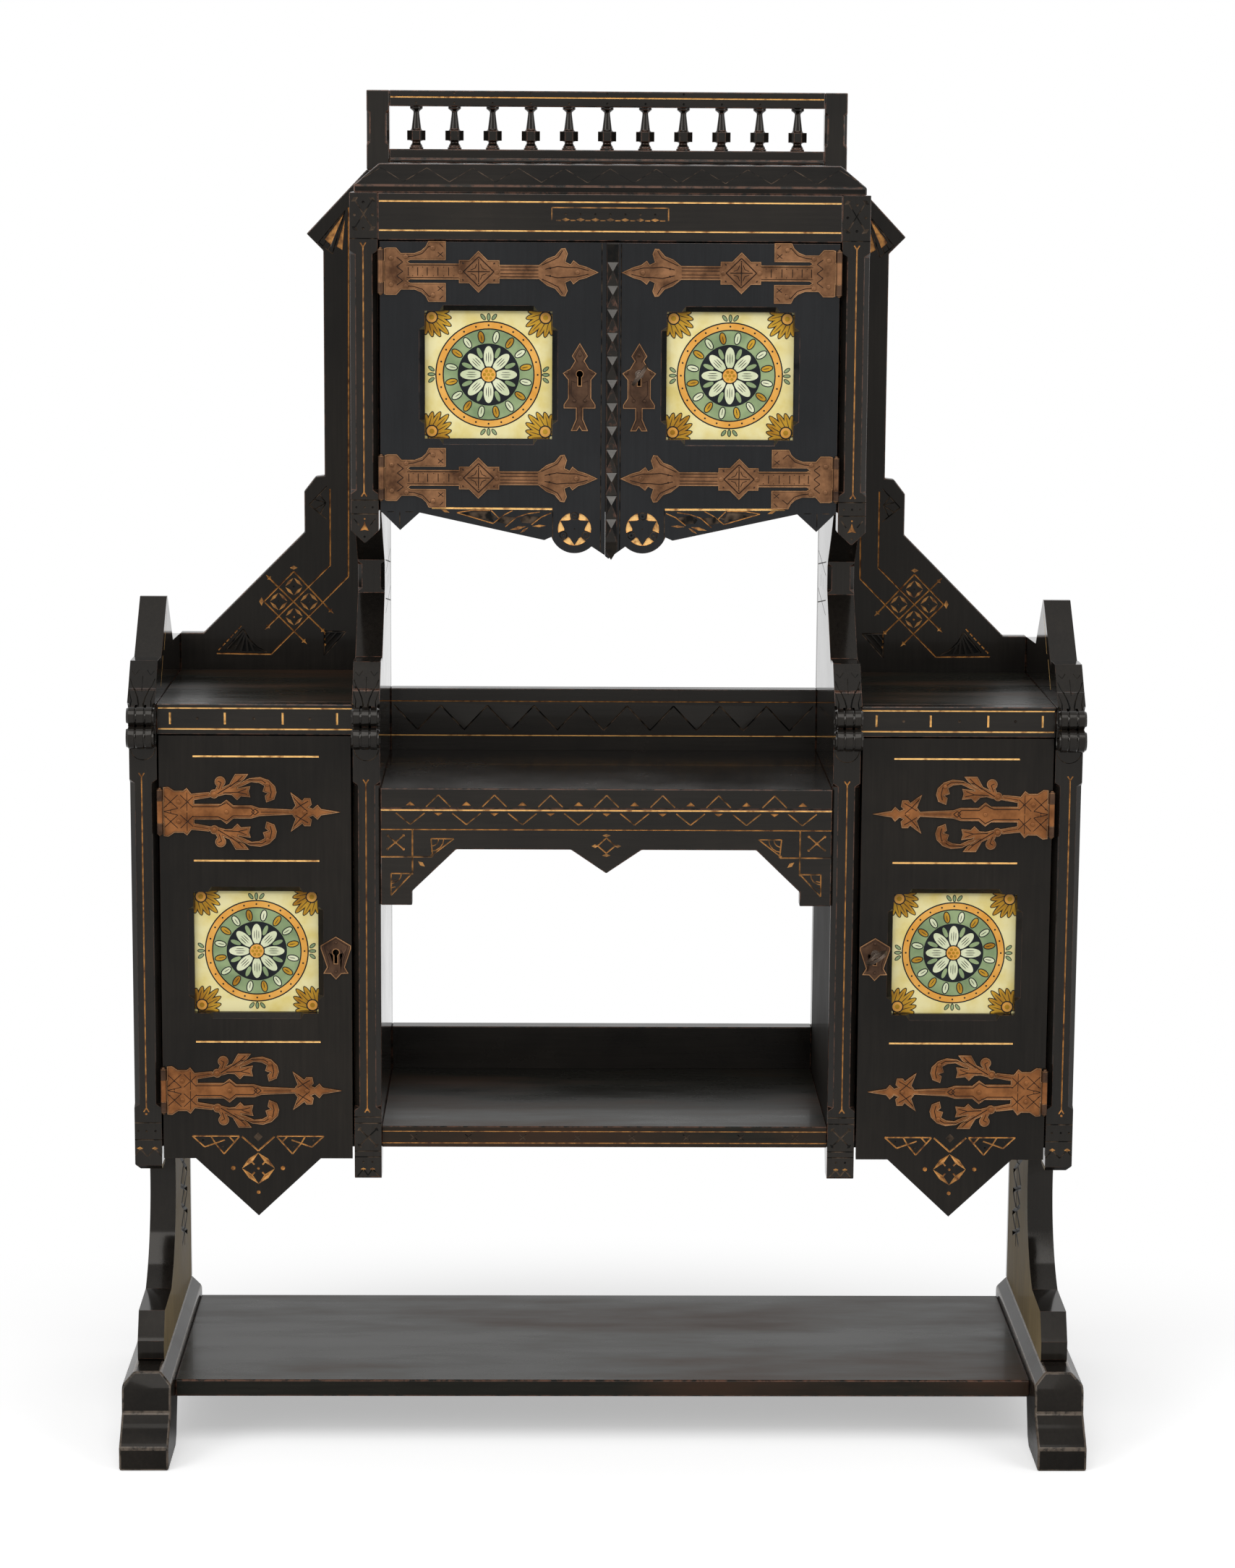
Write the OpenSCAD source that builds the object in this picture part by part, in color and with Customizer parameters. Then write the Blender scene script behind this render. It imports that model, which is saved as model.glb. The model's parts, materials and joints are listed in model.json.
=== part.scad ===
// Ebonised cabinet on sledge feet: two side cupboards, an upper cupboard between
// full-height uprights, open shelves in the middle and a spindle gallery on top.
// Millimetres, +Z up, front towards -Y, origin under the middle of the bounding box.

/* [Case] */
// Half width over the two inner uprights
upright_x = 300.5; // [298:0.5:305]
// Clear width of each side cupboard
bay_w = 231; // [226:1:240]
// Thickness of the outer sides and inner uprights
board_t = 32.5; // [30:0.5:35]
// Depth from the post fronts to the back boards
case_d = 300; // [285:1:315]
// Depth of the outer sides
side_d = 350; // [340:1:365]
// Thickness of the back boards
back_t = 18; // [14:1:22]
// Thickness of the shelves
shelf_t = 23; // [18:1:26]
// Thickness of the cupboard floors and side tops
floor_t = 16; // [12:1:20]
// Width of the leg part of each outer side
leg_t = 32; // [28:0.5:32]
// Thickness of the rails behind the shelves
rail_t = 22; // [16:1:24]

/* [Heights] */
// Underside of the outer posts
outer_post_z = 344; // [336:1:352]
// Underside of the inner posts
inner_post_z = 333.5; // [328:0.5:342]
// Top of the bottom shelf
bottom_shelf_z = 84; // [80:1:88]
// Thickness of the bottom shelf
bottom_shelf_t = 21; // [18:1:26]
// Top of the lower middle shelf
lower_shelf_z = 397; // [390:1:410]
// Top of the upper middle shelf
middle_shelf_z = 809; // [800:1:816]
// Top of the side cupboards
side_top_z = 909.5; // [900:0.5:915]
// Height of the fascia under the side top
fascia_h = 36.3; // [30:0.1:40]
// Underside of the upper cupboard
upper_z = 1137; // [1130:1:1145]
// Height of the opening of the upper cupboard
upper_h = 315; // [311:1:320]
// Height of the frieze
frieze_h = 54; // [48:1:60]
// Height of the cornice
cornice_h = 33; // [30:1:36]

/* [Feet] */
// Height of the sledge feet
foot_h = 106; // [98:1:112]
// Width of each foot
foot_w = 59; // [54:1:62]
// How far the toes stand in front of the posts
toe_out = 98; // [90:1:105]
// Length of each toe on the floor
toe_l = 85; // [75:1:95]
// Height of the arch between the toes
arch_h = 54; // [44:1:58]

/* [Upper doors] */
// How far the upper cupboard stands in front of the lower posts
jut = 10; // [6:1:14]
// Thickness of all doors
door_t = 24; // [23:1:26]
// Where the two upper doors meet, left of the middle
meet_x = 4.7; // [3.5:0.1:6]
// Middle of an upper tile, in from the outer face of its upright
upper_tile_in = 160.2; // [157:0.1:163]
// Middle of an upper tile, above the underside of the upper cupboard
upper_tile_up = 160.5; // [156:0.5:165]
// Upper hinge of an upper door, above the same underside
upper_hinge_hi = 279.4; // [276:0.1:281]
// Lower hinge of an upper door, above the same underside
upper_hinge_lo = 41.3; // [38:0.1:46]

/* [Lower doors] */
// Underside of the lower doors, beside their pendants
lower_door_z = 358; // [354:1:362]
// How far the pendant hangs below the door
pendant_h = 71; // [62:1:78]
// Half width of the pendant
pendant_w = 75; // [68:1:82]
// Middle of a lower tile, above the underside of the door
lower_tile_up = 252.2; // [246:0.1:258]
// Upper hinge of a lower door, above the same underside
lower_hinge_hi = 423; // [418:1:428]
// Lower hinge of a lower door, above the same underside
lower_hinge_lo = 84; // [80:1:89]

/* [Tiles] */
// Side of a tile
tile_s = 152.4; // [148:0.2:154]
// Thickness of a tile
tile_t = 8; // [7:0.5:9]
// Side of the opening that shows the tile
sight_s = 147.6; // [143:0.2:149]
// Depth of the wood in front of the tile
lip_t = 12; // [11:0.5:13]

/* [Hinges and locks] */
// Thickness of the strap plates
plate_t = 2.5; // [2:0.1:3]
// Radius of the hinge barrels
barrel_r = 3.5; // [3.2:0.1:3.8]
// Radius of the hinge pins
pin_r = 1.5; // [1.2:0.1:1.8]
// Radius of a key's shank
shank_r = 3; // [2.6:0.1:3.2]
// Angle of the bow of the upper key, from upright
upper_key_turn = 36; // [0:1:60]
// Angle of the bow of the lower key, from upright
lower_key_turn = 57; // [0:1:60]

/* [Gallery] */
// Height of the gallery above its foot
gallery_h = 96.4; // [90:0.2:104]
// Thickness of the gallery
gallery_t = 22; // [18:1:25]
// Width of the gallery's stiles
gallery_stile_w = 28; // [24:1:30]
// Number of spindles
spindles = 11; // [7:1:13]

/* [Hidden] */
$fn = 48;

EBONY = "#23211f";
COPPER = "#7a4a30";
BRASS = "#9a7a45";
STEEL = "#6d6a66";
GLAZE = "#e8dfae";
BACK = "#5a4636";

front_y = -(side_d - toe_out) / 2;
side_x = upright_x + bay_w + board_t;
side_in = side_x - board_t;
upright_in = upright_x - board_t;
foot_in = side_x - board_t / 2 - foot_w / 2 + 0.5;
foot_cham = (foot_w - leg_t) / 2;
shoulder_z = side_top_z + 50.5;
ledge_z = side_top_z + 47.5;
ear_z = side_top_z + 110.5;
under_z = lower_door_z + 8;
lower_under = lower_shelf_z - shelf_t - 3;
frieze_z = upper_z + upper_h;
cornice_z = frieze_z + frieze_h;
upper_tile_x = upright_x - upper_tile_in;
upper_tile_z = upper_z + upper_tile_up;
lower_tile_z = lower_door_z + lower_tile_up;
fascia_z = side_top_z - fascia_h;
gallery_z = cornice_z + cornice_h - 9;
gallery_x = upright_x - 5;
gallery_top = gallery_z + gallery_h;
rail_hi = 19.4;
rail_lo = 25.4;
rail_y = case_d - 4;

// running gaps
gap = 0.3;
seat_gap = 0.05;
pin_gap = 0.05;
door_gap = 2.2;
meet_gap = 0.8;
edge_gap = 1.5;
back_gap = 0.5;
bevel = 1.5;
axis_in = barrel_r - 0.2;
axis_out = barrel_r + 0.2;
leaf_t = 1.5;
leaf_d = 18;

upper_edge = upright_in - door_gap;
upper_top = frieze_z - edge_gap;
lower_edge = side_in - door_gap;
lower_free = upright_x + 2.3;
lower_top = fascia_z - edge_gap;
lower_mid = (lower_edge + lower_free) / 2;
lower_tile_x = lower_mid + 0.5;

upper_key_x = 34.5;
upper_key_z = upper_tile_z + 2;
lower_key_x = lower_free + 18.7;
lower_key_z = lower_tile_z + 1.3;

// lock case, bolt and key, measured from the key's axis
case_t = 10;
case_wall = 1.5;
bit_r = 12;
bit_t = 2.6;
bow_r = 14;
bolt_h = 10;
bolt_t = 4.5;
bolt_y = 2.5;
bolt_z = bit_r + 2;
case_down = bit_r + 3;
case_up = bolt_z + bolt_h + 4;
upper_case_a = upper_key_x + meet_x - 3.7;
upper_case_b = 27;
lower_case_a = lower_key_x - lower_free - 2;
lower_case_b = 17;

// hinge barrels, and the upright bolt inside the left-hand upper door
upper_barrel = 50;
lower_barrel = 53;
rod_r = 3;
rod_x = 40;
rod_l = 97;
eye_t = 9;
eye_plate = 2;
eye_room = eye_plate + gap + rod_r;

module at_front() {
    translate([0, front_y, 0]) children();
}

// builds the right-hand piece, or its mirror image when s is -1
module on(s) {
    mirror([s < 0 ? 1 : 0, 0, 0]) children();
}

// box between two corners
module block(a, b) {
    translate(a) cube(b - a);
}

// outline in Y and Z, sawn from a board that starts at x0
module yz_board(x0, t) {
    translate([x0, 0, 0]) rotate([90, 0, 90]) linear_extrude(t) children();
}

// outline in X and Z, sawn from a board whose front is at y0
module xz_board(y0, t) {
    translate([0, y0 + t, 0]) rotate([90, 0, 0]) linear_extrude(t) children();
}

// cutter for a stopped chamfer along an edge on X, with the wood towards +Y and +Z
module stop_chamfer(l, a) {
    d = a / sqrt(2);
    rotate([45, 0, 0]) linear_extrude(4 * a, center = true)
        polygon([[-l / 2 - 1, -1], [-l / 2 + d, d], [l / 2 - d, d], [l / 2 + 1, -1]]);
}

// the same cutter standing upright at (x, y) from z0 to z1, for the edge towards +X
module post_chamfer(x, y, z0, z1, a) {
    translate([x, y, (z0 + z1) / 2]) rotate([0, -90, 0]) stop_chamfer(z1 - z0, a);
}

// both front edges of a post that spans xa to xb
module post_chamfers(xa, xb, y, z0, z1, a) {
    post_chamfer(xb, y, z0, z1, a);
    translate([xa + xb, 0, 0]) mirror([1, 0, 0]) post_chamfer(xb, y, z0, z1, a);
}

// carved console on the front edge of a side or upright, as an outline in Y and Z
module paw_outline() {
    translate([-18, ledge_z - 60]) circle(12);
    translate([-21, ledge_z - 84]) circle(14);
    polygon([[60, ledge_z], [28, ledge_z], [5, ledge_z - 26], [-17, ledge_z - 49],
             [-21, ledge_z - 84], [0, ledge_z - 99], [60, ledge_z - 99]]);
}

// sledge foot
module foot(s) {
    x1 = foot_in + foot_w;
    mid = (side_d - toe_out) / 2;
    on(s) difference() {
        yz_board(foot_in, foot_w) difference() {
            polygon([[-toe_out, 0], [-toe_out, 28], [-toe_out + 5, 33], [-62, 60], [-60, foot_h - 20],
                     [-45, foot_h], [side_d, foot_h], [side_d, 0], [side_d - toe_l, 0],
                     [side_d - toe_l - 14, 10], [side_d - toe_l - 32, arch_h],
                     [-toe_out + toe_l + 32, arch_h], [-toe_out + toe_l + 14, 10],
                     [-toe_out + toe_l, 0]]);
            translate([-toe_out - 2, foot_h - 35]) circle(34);
        }
        for (m = [0, 1])
            translate([m * (foot_in + x1), mid, 0]) mirror([m, 0, 0])
                translate([foot_in, 0, foot_h]) rotate([0, 45, 0])
                    cube([foot_cham * 1.41, side_d * 2, foot_cham * 1.41], center = true);
    }
}

// full board of the outer side: ear, carved console, post, leg and the plinth on the foot
module outer_side_outline() {
    difference() {
        union() {
            paw_outline();
            polygon([[side_d, foot_h], [side_d, shoulder_z - 36], [case_d + back_t, shoulder_z - 8],
                     [case_d, shoulder_z - 5], [209, shoulder_z - 1.5], [150, ear_z],
                     [143, ear_z], [72, ledge_z], [0, ledge_z - 30], [0, outer_post_z + 5],
                     [4, outer_post_z], [34, outer_post_z], [52, under_z], [148, under_z],
                     [148, outer_post_z], [88, foot_h + 62], [10, foot_h + 59], [-5, foot_h + 31],
                     [-8, foot_h + 26], [-8, foot_h + 4], [-5, foot_h]]);
        }
        intersection() {
            translate([17, foot_h + 184]) circle(142, $fn = 96);
            translate([60, foot_h + 62]) square([150, outer_post_z - foot_h - 62]);
        }
    }
}

module outer_side(s) {
    trim = board_t - leg_t;
    on(s) difference() {
        yz_board(side_in, board_t) outer_side_outline();
        block([side_x - trim, -40, foot_h - 1], [side_x + 1, side_d + 1, outer_post_z]);
        post_chamfers(side_in, side_x, 0, outer_post_z + 76, side_top_z - 90, 6.5);
        translate([side_x, 0, outer_post_z]) rotate([0, 45, 0]) cube([9, 110, 9], center = true);
    }
}

module inner_upright_outline() {
    paw_outline();
    polygon([[case_d, under_z], [case_d, cornice_z], [-jut, cornice_z], [-jut, upper_z - 35],
             [22, upper_z - 35], [22, upper_z], [50, upper_z], [93, upper_z - 37], [140, ear_z + 46],
             [140, ear_z + 6], [72, ledge_z], [0, ledge_z - 30], [0, inner_post_z + 2],
             [2, inner_post_z], [28, inner_post_z], [44, under_z]]);
}

// one of the two full-height uprights, with a mortise for the bolt of a side cupboard
module inner_upright(s) {
    mid = (upright_in + upright_x) / 2;
    half = board_t / 2 + 1;
    on(s) difference() {
        yz_board(upright_in, board_t) inner_upright_outline();
        post_chamfers(upright_in, upright_x, 0, inner_post_z + 84, side_top_z - 92, 6.5);
        post_chamfers(upright_in, upright_x, -jut, upper_z + 22, frieze_z - 12, 6.5);
        post_chamfers(upright_in, upright_x, 140, ear_z + 8, ear_z + 44, 5);
        for (m = [-1, 1])
            xz_board(-jut - 1, 33 + jut - 0.5)
                polygon([[mid, upper_z - 36], [mid + m * half, upper_z - 20], [mid + m * half, upper_z - 36]]);
        block([upright_x - 10, door_t + bolt_y - 1.5, lower_key_z + bolt_z - 1.5],
              [upright_x + 1, door_t + bolt_y + bolt_t + 1.5, lower_key_z + bolt_z + bolt_h + 1.5]);
    }
}

module bottom_shelf() {
    at_front() color(EBONY)
        block([-foot_in, -10, bottom_shelf_z - bottom_shelf_t], [foot_in, side_d - 15, bottom_shelf_z]);
}

// top board of a side cupboard, behind its fascia
module side_top(s) {
    on(s) block([upright_x, 20, side_top_z - floor_t], [side_in, case_d, side_top_z]);
}

module fascia(s) {
    on(s) block([upright_x, 0, fascia_z], [side_in, 20, side_top_z]);
}

// floor of a side cupboard, whose front edge stops the door
module cupboard_floor(s) {
    on(s) block([upright_x, door_t + back_gap, under_z], [side_in, case_d, under_z + floor_t]);
}

// stepped back board: it closes a side cupboard and rises as a shaped wing to the gallery
module back_board(s) {
    wing = upright_x + 74.5;
    on(s) xz_board(case_d, back_t)
        polygon([[upright_in, under_z], [side_in, under_z], [side_in, shoulder_z - 4.5],
                 [wing + 127.5, shoulder_z - 4.5], [wing, upper_z - 54], [wing, upper_z - 3],
                 [wing - 14, upper_z + 15], [wing - 25.5, upper_z + 16.5],
                 [wing - 25.5, frieze_z - 21], [wing - 5, frieze_z - 0.5],
                 [gallery_x, gallery_z], [upright_in, gallery_z]]);
}

module lower_shelf() {
    at_front() color(EBONY)
        block([-upright_in, 5, lower_under], [upright_in, rail_y, lower_shelf_z]);
}

module lower_back_rail() {
    at_front() color(EBONY)
        block([-upright_in, rail_y, lower_under], [upright_in, rail_y + rail_t, lower_shelf_z + 54.5]);
}

module middle_shelf() {
    at_front() color(EBONY)
        block([-upright_in, 4, middle_shelf_z - shelf_t - 1], [upright_in, rail_y, middle_shelf_z]);
}

// shaped rail under the front of the middle shelf
module shelf_apron() {
    top = middle_shelf_z - shelf_t - 1;
    flat = top - 49.5;
    half = [[42, flat], [upright_in - 89.6, flat], [upright_in - 37.3, flat - 50.5],
            [upright_in - 37.3, flat - 67.5], [upright_in, flat - 67.5], [upright_in, top]];
    at_front() color(EBONY) xz_board(4, 20)
        polygon(concat([[0, flat - 28.5]], half, [for (i = [5:-1:0]) [-half[i][0], half[i][1]]]));
}

module upper_back_rail() {
    at_front() color(EBONY)
        block([-upright_in, rail_y, middle_shelf_z - 20],
              [upright_in, rail_y + rail_t, middle_shelf_z + 78]);
}

// floor of the upper cupboard, whose front edge stops the doors
module upper_floor() {
    at_front() color(EBONY)
        block([-upright_in, door_t - jut + back_gap, upper_z], [upright_in, case_d, upper_z + floor_t]);
}

module upper_back() {
    at_front() color(EBONY)
        block([-upright_in, case_d, upper_z], [upright_in, case_d + 12, gallery_z]);
}

module frieze() {
    at_front() color(EBONY)
        block([-upright_in, -jut, frieze_z], [upright_in, door_t - jut, cornice_z]);
}

// top board with a sloping edge on three sides
module cornice() {
    edge_x = upright_x - 5;
    run = 28;
    rise = cornice_h - 8.5;
    slope = atan(rise / run);
    at_front() color(EBONY) difference() {
        block([-edge_x, -jut, cornice_z], [edge_x, case_d, cornice_z + cornice_h]);
        translate([0, -jut, cornice_z + 8.5]) rotate([slope, 0, 0])
            translate([0, 0, cornice_h]) cube([3 * edge_x, 4 * cornice_h, 2 * cornice_h], center = true);
        for (s = [-1, 1])
            translate([s * edge_x, case_d / 2, cornice_z + 8.5]) rotate([0, s * slope, 0])
                translate([0, 0, cornice_h]) cube([4 * cornice_h, 2 * case_d, 2 * cornice_h], center = true);
    }
}

module gallery_rail(z0, z1) {
    block([-gallery_x + gallery_stile_w, case_d, z0], [gallery_x - gallery_stile_w, case_d + gallery_t, z1]);
}

module gallery_top_rail() {
    at_front() color(EBONY) gallery_rail(gallery_top - rail_hi, gallery_top);
}

// lower rail of the gallery, with a small moulding where it stands on the cornice
module gallery_bottom_rail() {
    at_front() color(EBONY) {
        gallery_rail(gallery_z, gallery_z + rail_lo);
        block([-gallery_x + gallery_stile_w, case_d - 4, cornice_z + cornice_h],
              [gallery_x - gallery_stile_w, case_d, cornice_z + cornice_h + 4.5]);
    }
}

module gallery_stiles() {
    at_front() color(EBONY) for (s = [-1, 1]) on(s) difference() {
        block([gallery_x - gallery_stile_w, case_d, gallery_z], [gallery_x, case_d + gallery_t, gallery_top]);
        post_chamfers(gallery_x - gallery_stile_w, gallery_x, case_d,
                      gallery_z + rail_lo + 5, gallery_top - rail_hi - 5, 4);
    }
}

// turned spindle with an eight-sided drum
module spindle(z0, z1) {
    h = z1 - z0;
    translate([0, 0, z0]) {
        rotate_extrude()
            polygon([[0, 0], [8.7, 0], [8.7, 2], [7.4, 2.6], [7.4, 4], [5.2, 7.5], [5.2, 9], [8, 10.5],
                     [8, 22], [6, 24.5], [3.6, h - 8.5], [3.6, h - 6], [7.9, h - 2.6], [7.9, h], [0, h]]);
        translate([0, 0, 10.5]) rotate([0, 0, 22.5]) cylinder(r = 12.2, h = 12, $fn = 8);
    }
}

module spindle_row() {
    room = 2 * (gallery_x - gallery_stile_w);
    pitch = room / (spindles + 0.4);
    at_front() color(EBONY)
        for (i = [0 : spindles - 1])
            translate([(i - (spindles - 1) / 2) * pitch, case_d + gallery_t / 2, 0])
                spindle(gallery_z + rail_lo, gallery_top - rail_hi);
}

// sight opening, stopped chamfers round it and the rebate for tile and backing
module tile_cuts(x, z, y0) {
    block([x - sight_s / 2, y0 - 1, z - sight_s / 2], [x + sight_s / 2, y0 + lip_t + 1, z + sight_s / 2]);
    seat = tile_s / 2 + gap;
    block([x - seat, y0 + lip_t, z - seat], [x + seat, y0 + door_t + 1, z + seat]);
    for (a = [0 : 90 : 270])
        translate([x, y0, z]) rotate([0, a, 0]) translate([0, 0, sight_s / 2]) stop_chamfer(sight_s - 34, 6.5);
}

// keyhole through t of wood or metal behind y0
module key_bore(x, z, y0, t) {
    translate([x, y0 - 1, z]) rotate([-90, 0, 0]) cylinder(r = shank_r + 0.8, h = t + 2);
    block([x - 1.8, y0 - 1, z - bit_r - 1.5], [x + 1.8, y0 + t + 1, z]);
}

// outline of an upper door on the right, with its hanging apron
module upper_door_outline(free_x) {
    foot = upper_z;
    intersection() {
        union() {
            polygon([[upper_edge, upper_top], [-20, upper_top], [-20, foot - 37], [0, foot - 52.5],
                     [19.3, foot - 38.5], [66, foot - 27], [75, foot - 31], [upper_edge - 45.4, foot + 0.5],
                     [upper_edge - 22.8, foot - 20], [upper_edge - 1.8, foot + 0.5], [upper_edge, foot + 0.5]]);
            translate([39.7, foot - 17.6]) circle(28.6);
        }
        translate([free_x, foot - 100]) square([upper_edge - free_x, upper_top - foot + 100]);
    }
}

module upper_door(s) {
    free_x = meet_gap - s * meet_x;
    on(s) difference() {
        xz_board(-jut, door_t) upper_door_outline(free_x);
        tile_cuts(upper_tile_x, upper_tile_z, -jut);
        key_bore(upper_key_x, upper_key_z, -jut, door_t);
        translate([free_x, -jut, upper_z - 100])
            linear_extrude(600) polygon([[-1, 3], [0, 3], [bevel, door_t + 1], [-1, door_t + 1]]);
    }
}

module lower_door(s) {
    half = (lower_edge - lower_free) / 2;
    on(s) difference() {
        xz_board(0, door_t)
            polygon([[lower_free, lower_top], [lower_free, lower_door_z], [lower_mid - pendant_w, lower_door_z],
                     [lower_mid, lower_door_z - pendant_h], [lower_mid + pendant_w, lower_door_z],
                     [lower_edge, lower_door_z], [lower_edge, lower_top]]);
        tile_cuts(lower_tile_x, lower_tile_z, 0);
        key_bore(lower_key_x, lower_key_z, 0, door_t);
        translate([lower_free, 0, lower_door_z - 1])
            linear_extrude(lower_top - lower_door_z + 2)
                polygon([[-1, 3], [0, 3], [bevel, door_t + 1], [-1, door_t + 1]]);
    }
}

module tile(s, x, z, y0) {
    half = tile_s / 2;
    on(s) block([x - half, y0 + lip_t, z - half], [x + half, y0 + lip_t + tile_t, z + half]);
}

// thin board that closes the rebate behind a tile
module tile_back(s, x, z, y0) {
    half = tile_s / 2;
    on(s) block([x - half, y0 + lip_t + tile_t, z - half], [x + half, y0 + door_t, z + half]);
}

// strip of pyramid nailheads on the meeting edge of the right-hand upper door
module astragal() {
    x0 = meet_gap - meet_x;
    w = 14;
    pitch = 27;
    at_front() color(EBONY) {
        xz_board(-jut - 5, 5)
            polygon([[x0, upper_top - 1], [x0 + w, upper_top - 1], [x0 + w, upper_z - 42],
                     [x0 + w / 2, upper_z - 53.5], [x0, upper_z - 42]]);
        for (z = [upper_z - 18 : pitch : upper_top - 20])
            translate([x0 + w / 2, -jut - 5, z]) intersection() {
                yz_board(-6, 12) polygon([[1, -13], [0, -13], [-4, 10], [0, 12], [1, 12]]);
                translate([0, 0, -14]) rotate([0, 0, 180])
                    linear_extrude(28) polygon([[-6, -1], [6, -1], [6, 0], [0, 8], [-6, 0]]);
            }
    }
}

// outline of an upper strap, with u from the hinge axis along X and v up
module upper_strap_outline() {
    for (m = [0, 1]) mirror([0, m]) {
        polygon([[0, 0], [0, 25], [7, 27], [18, 27], [23.5, 20.8], [39, 20.8], [47, 24], [52, 28.5],
                 [55, 34.6], [75, 34.6], [75, 13.1], [34, 13.1], [31, 11], [34, 9.1], [90.3, 9.1],
                 [90.3, 13.1], [102, 13.1], [112.8, 24], [123.6, 13.1], [137, 13.1], [137, 7.9],
                 [182.6, 7.9], [192, 15.4], [201.3, 18.9], [208.3, 27.1], [213, 27.6], [215.8, 21.3],
                 [213, 11.9], [219, 9], [222.3, 13.8], [229, 8.6], [237, 6.5], [251.5, 0]]);
    }
}

// outline of a lower strap: base plate, shaft, scrolled branches with leaves, fleur and spear
module lower_strap_outline() {
    for (m = [0, 1]) mirror([0, m]) {
        polygon([[0, 0], [0, 28], [3.5, 29.2], [9.8, 29.8], [17, 25], [27.5, 25], [31.7, 28.4],
                 [37, 21.5], [57.8, 23.6], [62, 18], [57.8, 17.3], [40.5, 14.2], [40.5, 0]]);
        polygon([[40, 0], [40, 9.3], [71.8, 9.3], [78.6, 14.5], [86.6, 7.8], [107.8, 7.8],
                 [117.2, 4.8], [162, 2.6], [162, 0]]);
        polygon([[154, 0], [160, 8], [154.2, 23.6], [163, 17.3], [168, 13.5], [170.4, 16.7],
                 [177.7, 16.7], [179.2, 9], [176, 6], [181, 3.8], [181, 0]]);
        polygon([[180, 0], [180, 3.4], [186, 9], [190.2, 3.8], [212.6, 0]]);
        translate([64, 21.5]) circle(5.2);
        translate([71.3, 36.1]) circle(6.3);
        polygon([[64, 24], [72, 24], [77.3, 35], [71, 38], [67.5, 31]]);
        polygon([[60, 18], [60, 24.5], [66, 26], [82, 33], [89, 45.3], [104.6, 45.3], [99.5, 38.8],
                 [93.2, 34], [92, 27], [80.7, 22], [70, 19]]);
        polygon([[72.4, 21.5], [84.9, 20.4], [91.2, 14.2], [95.7, 18.8], [106.8, 17.7],
                 [105, 24.6], [106.8, 30.9], [93.2, 28.8], [80.7, 25.7]]);
        polygon([[90, 29], [93.2, 34], [105.8, 40.3], [118.3, 41.7], [128.7, 38.2], [136, 30.9],
                 [137.7, 23.6], [135, 15.2], [125.6, 11.5], [124, 19.4], [127.5, 22.5],
                 [121.4, 24.6], [123.5, 31.5], [117.2, 35], [107.8, 36], [97.4, 31]]);
    }
}

// fixed leaf let in beside a door, its two outer barrels and the riveted pin
module hinge_leaf(post_x, y0, z, h) {
    q = h / 4 + gap / 2;
    end = h / 2 + seat_gap;
    translate([post_x, y0, z]) {
        difference() {
            union() {
                block([-leaf_t, gap, -h / 2], [0, leaf_d, h / 2]);
                for (m = [0, 1]) mirror([0, 0, m]) {
                    block([-leaf_t, -axis_out, q], [0, 1, h / 2]);
                    translate([-axis_in, -axis_out, q]) cylinder(r = barrel_r, h = h / 2 - q);
                }
            }
            translate([-axis_in, -axis_out, -h]) cylinder(r = pin_r + pin_gap, h = 2 * h);
        }
        translate([-axis_in, -axis_out, 0]) rotate_extrude()
            polygon([[0, -end - 2.5], [1.6, -end - 2], [2.5, -end], [pin_r, -end],
                     [pin_r, end], [2.5, end], [1.6, end + 2], [0, end + 2.5]]);
    }
}

module hinge_leaves() {
    at_front() color(COPPER) for (s = [-1, 1]) on(s) {
        for (z = [upper_hinge_lo, upper_hinge_hi])
            hinge_leaf(upright_in, -jut, upper_z + z, upper_barrel);
        for (z = [lower_hinge_lo, lower_hinge_hi])
            hinge_leaf(side_in, 0, lower_door_z + z, lower_barrel);
    }
}

// strap with its middle barrel, on a right-hand door
module strap(post_x, y0, z, h) {
    q = h / 4 - gap / 2;
    translate([post_x - axis_in, y0, z]) mirror([1, 0, 0]) difference() {
        union() {
            xz_board(-plate_t, plate_t) children();
            translate([0, -axis_out, -q]) cylinder(r = barrel_r, h = 2 * q);
        }
        for (m = [0, 1]) mirror([0, 0, m])
            block([-1, -plate_t - 1, q], [barrel_r + 2 * gap, 1, h]);
        translate([0, -axis_out, -h]) cylinder(r = pin_r + pin_gap, h = 2 * h);
    }
}

// round screw heads at points (u, v) of a plate
module screw_heads(x, y0, z, r, points) {
    for (p = points)
        translate([x - p[0], y0 - seat_gap, z + p[1]]) rotate([90, 0, 0]) difference() {
            rotate_extrude() polygon([[0, 0], [r, 0], [r * 0.8, 0.7], [r * 0.4, 1.1], [0, 1.2]]);
            translate([0, 0, 1.2]) cube([2 * r + 1, 0.6, 0.8], center = true);
        }
}

module upper_strap_pair(s) {
    screws = [[12, 15], [12, -15], [29, 17], [29, -17], [60, 27], [60, -27], [92, 0], [134, 0], [227, 0]];
    on(s) for (h = [upper_hinge_lo, upper_hinge_hi]) {
        z = upper_z + h;
        strap(upright_in, -jut, z, upper_barrel) upper_strap_outline();
        screw_heads(upright_in - axis_in, -jut - plate_t, z, 2.8, screws);
    }
}

module lower_strap_pair(s) {
    screws = [[22, 11.7], [22, -11.7], [64, 21.5], [64, -21.5], [78.6, 0], [127, 33.4],
              [127, -33.4], [171, 0]];
    on(s) for (h = [lower_hinge_lo, lower_hinge_hi]) {
        z = lower_door_z + h;
        strap(side_in, 0, z, lower_barrel) lower_strap_outline();
        screw_heads(side_in - axis_in, -plate_t, z, 2.6, screws);
    }
}

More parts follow.
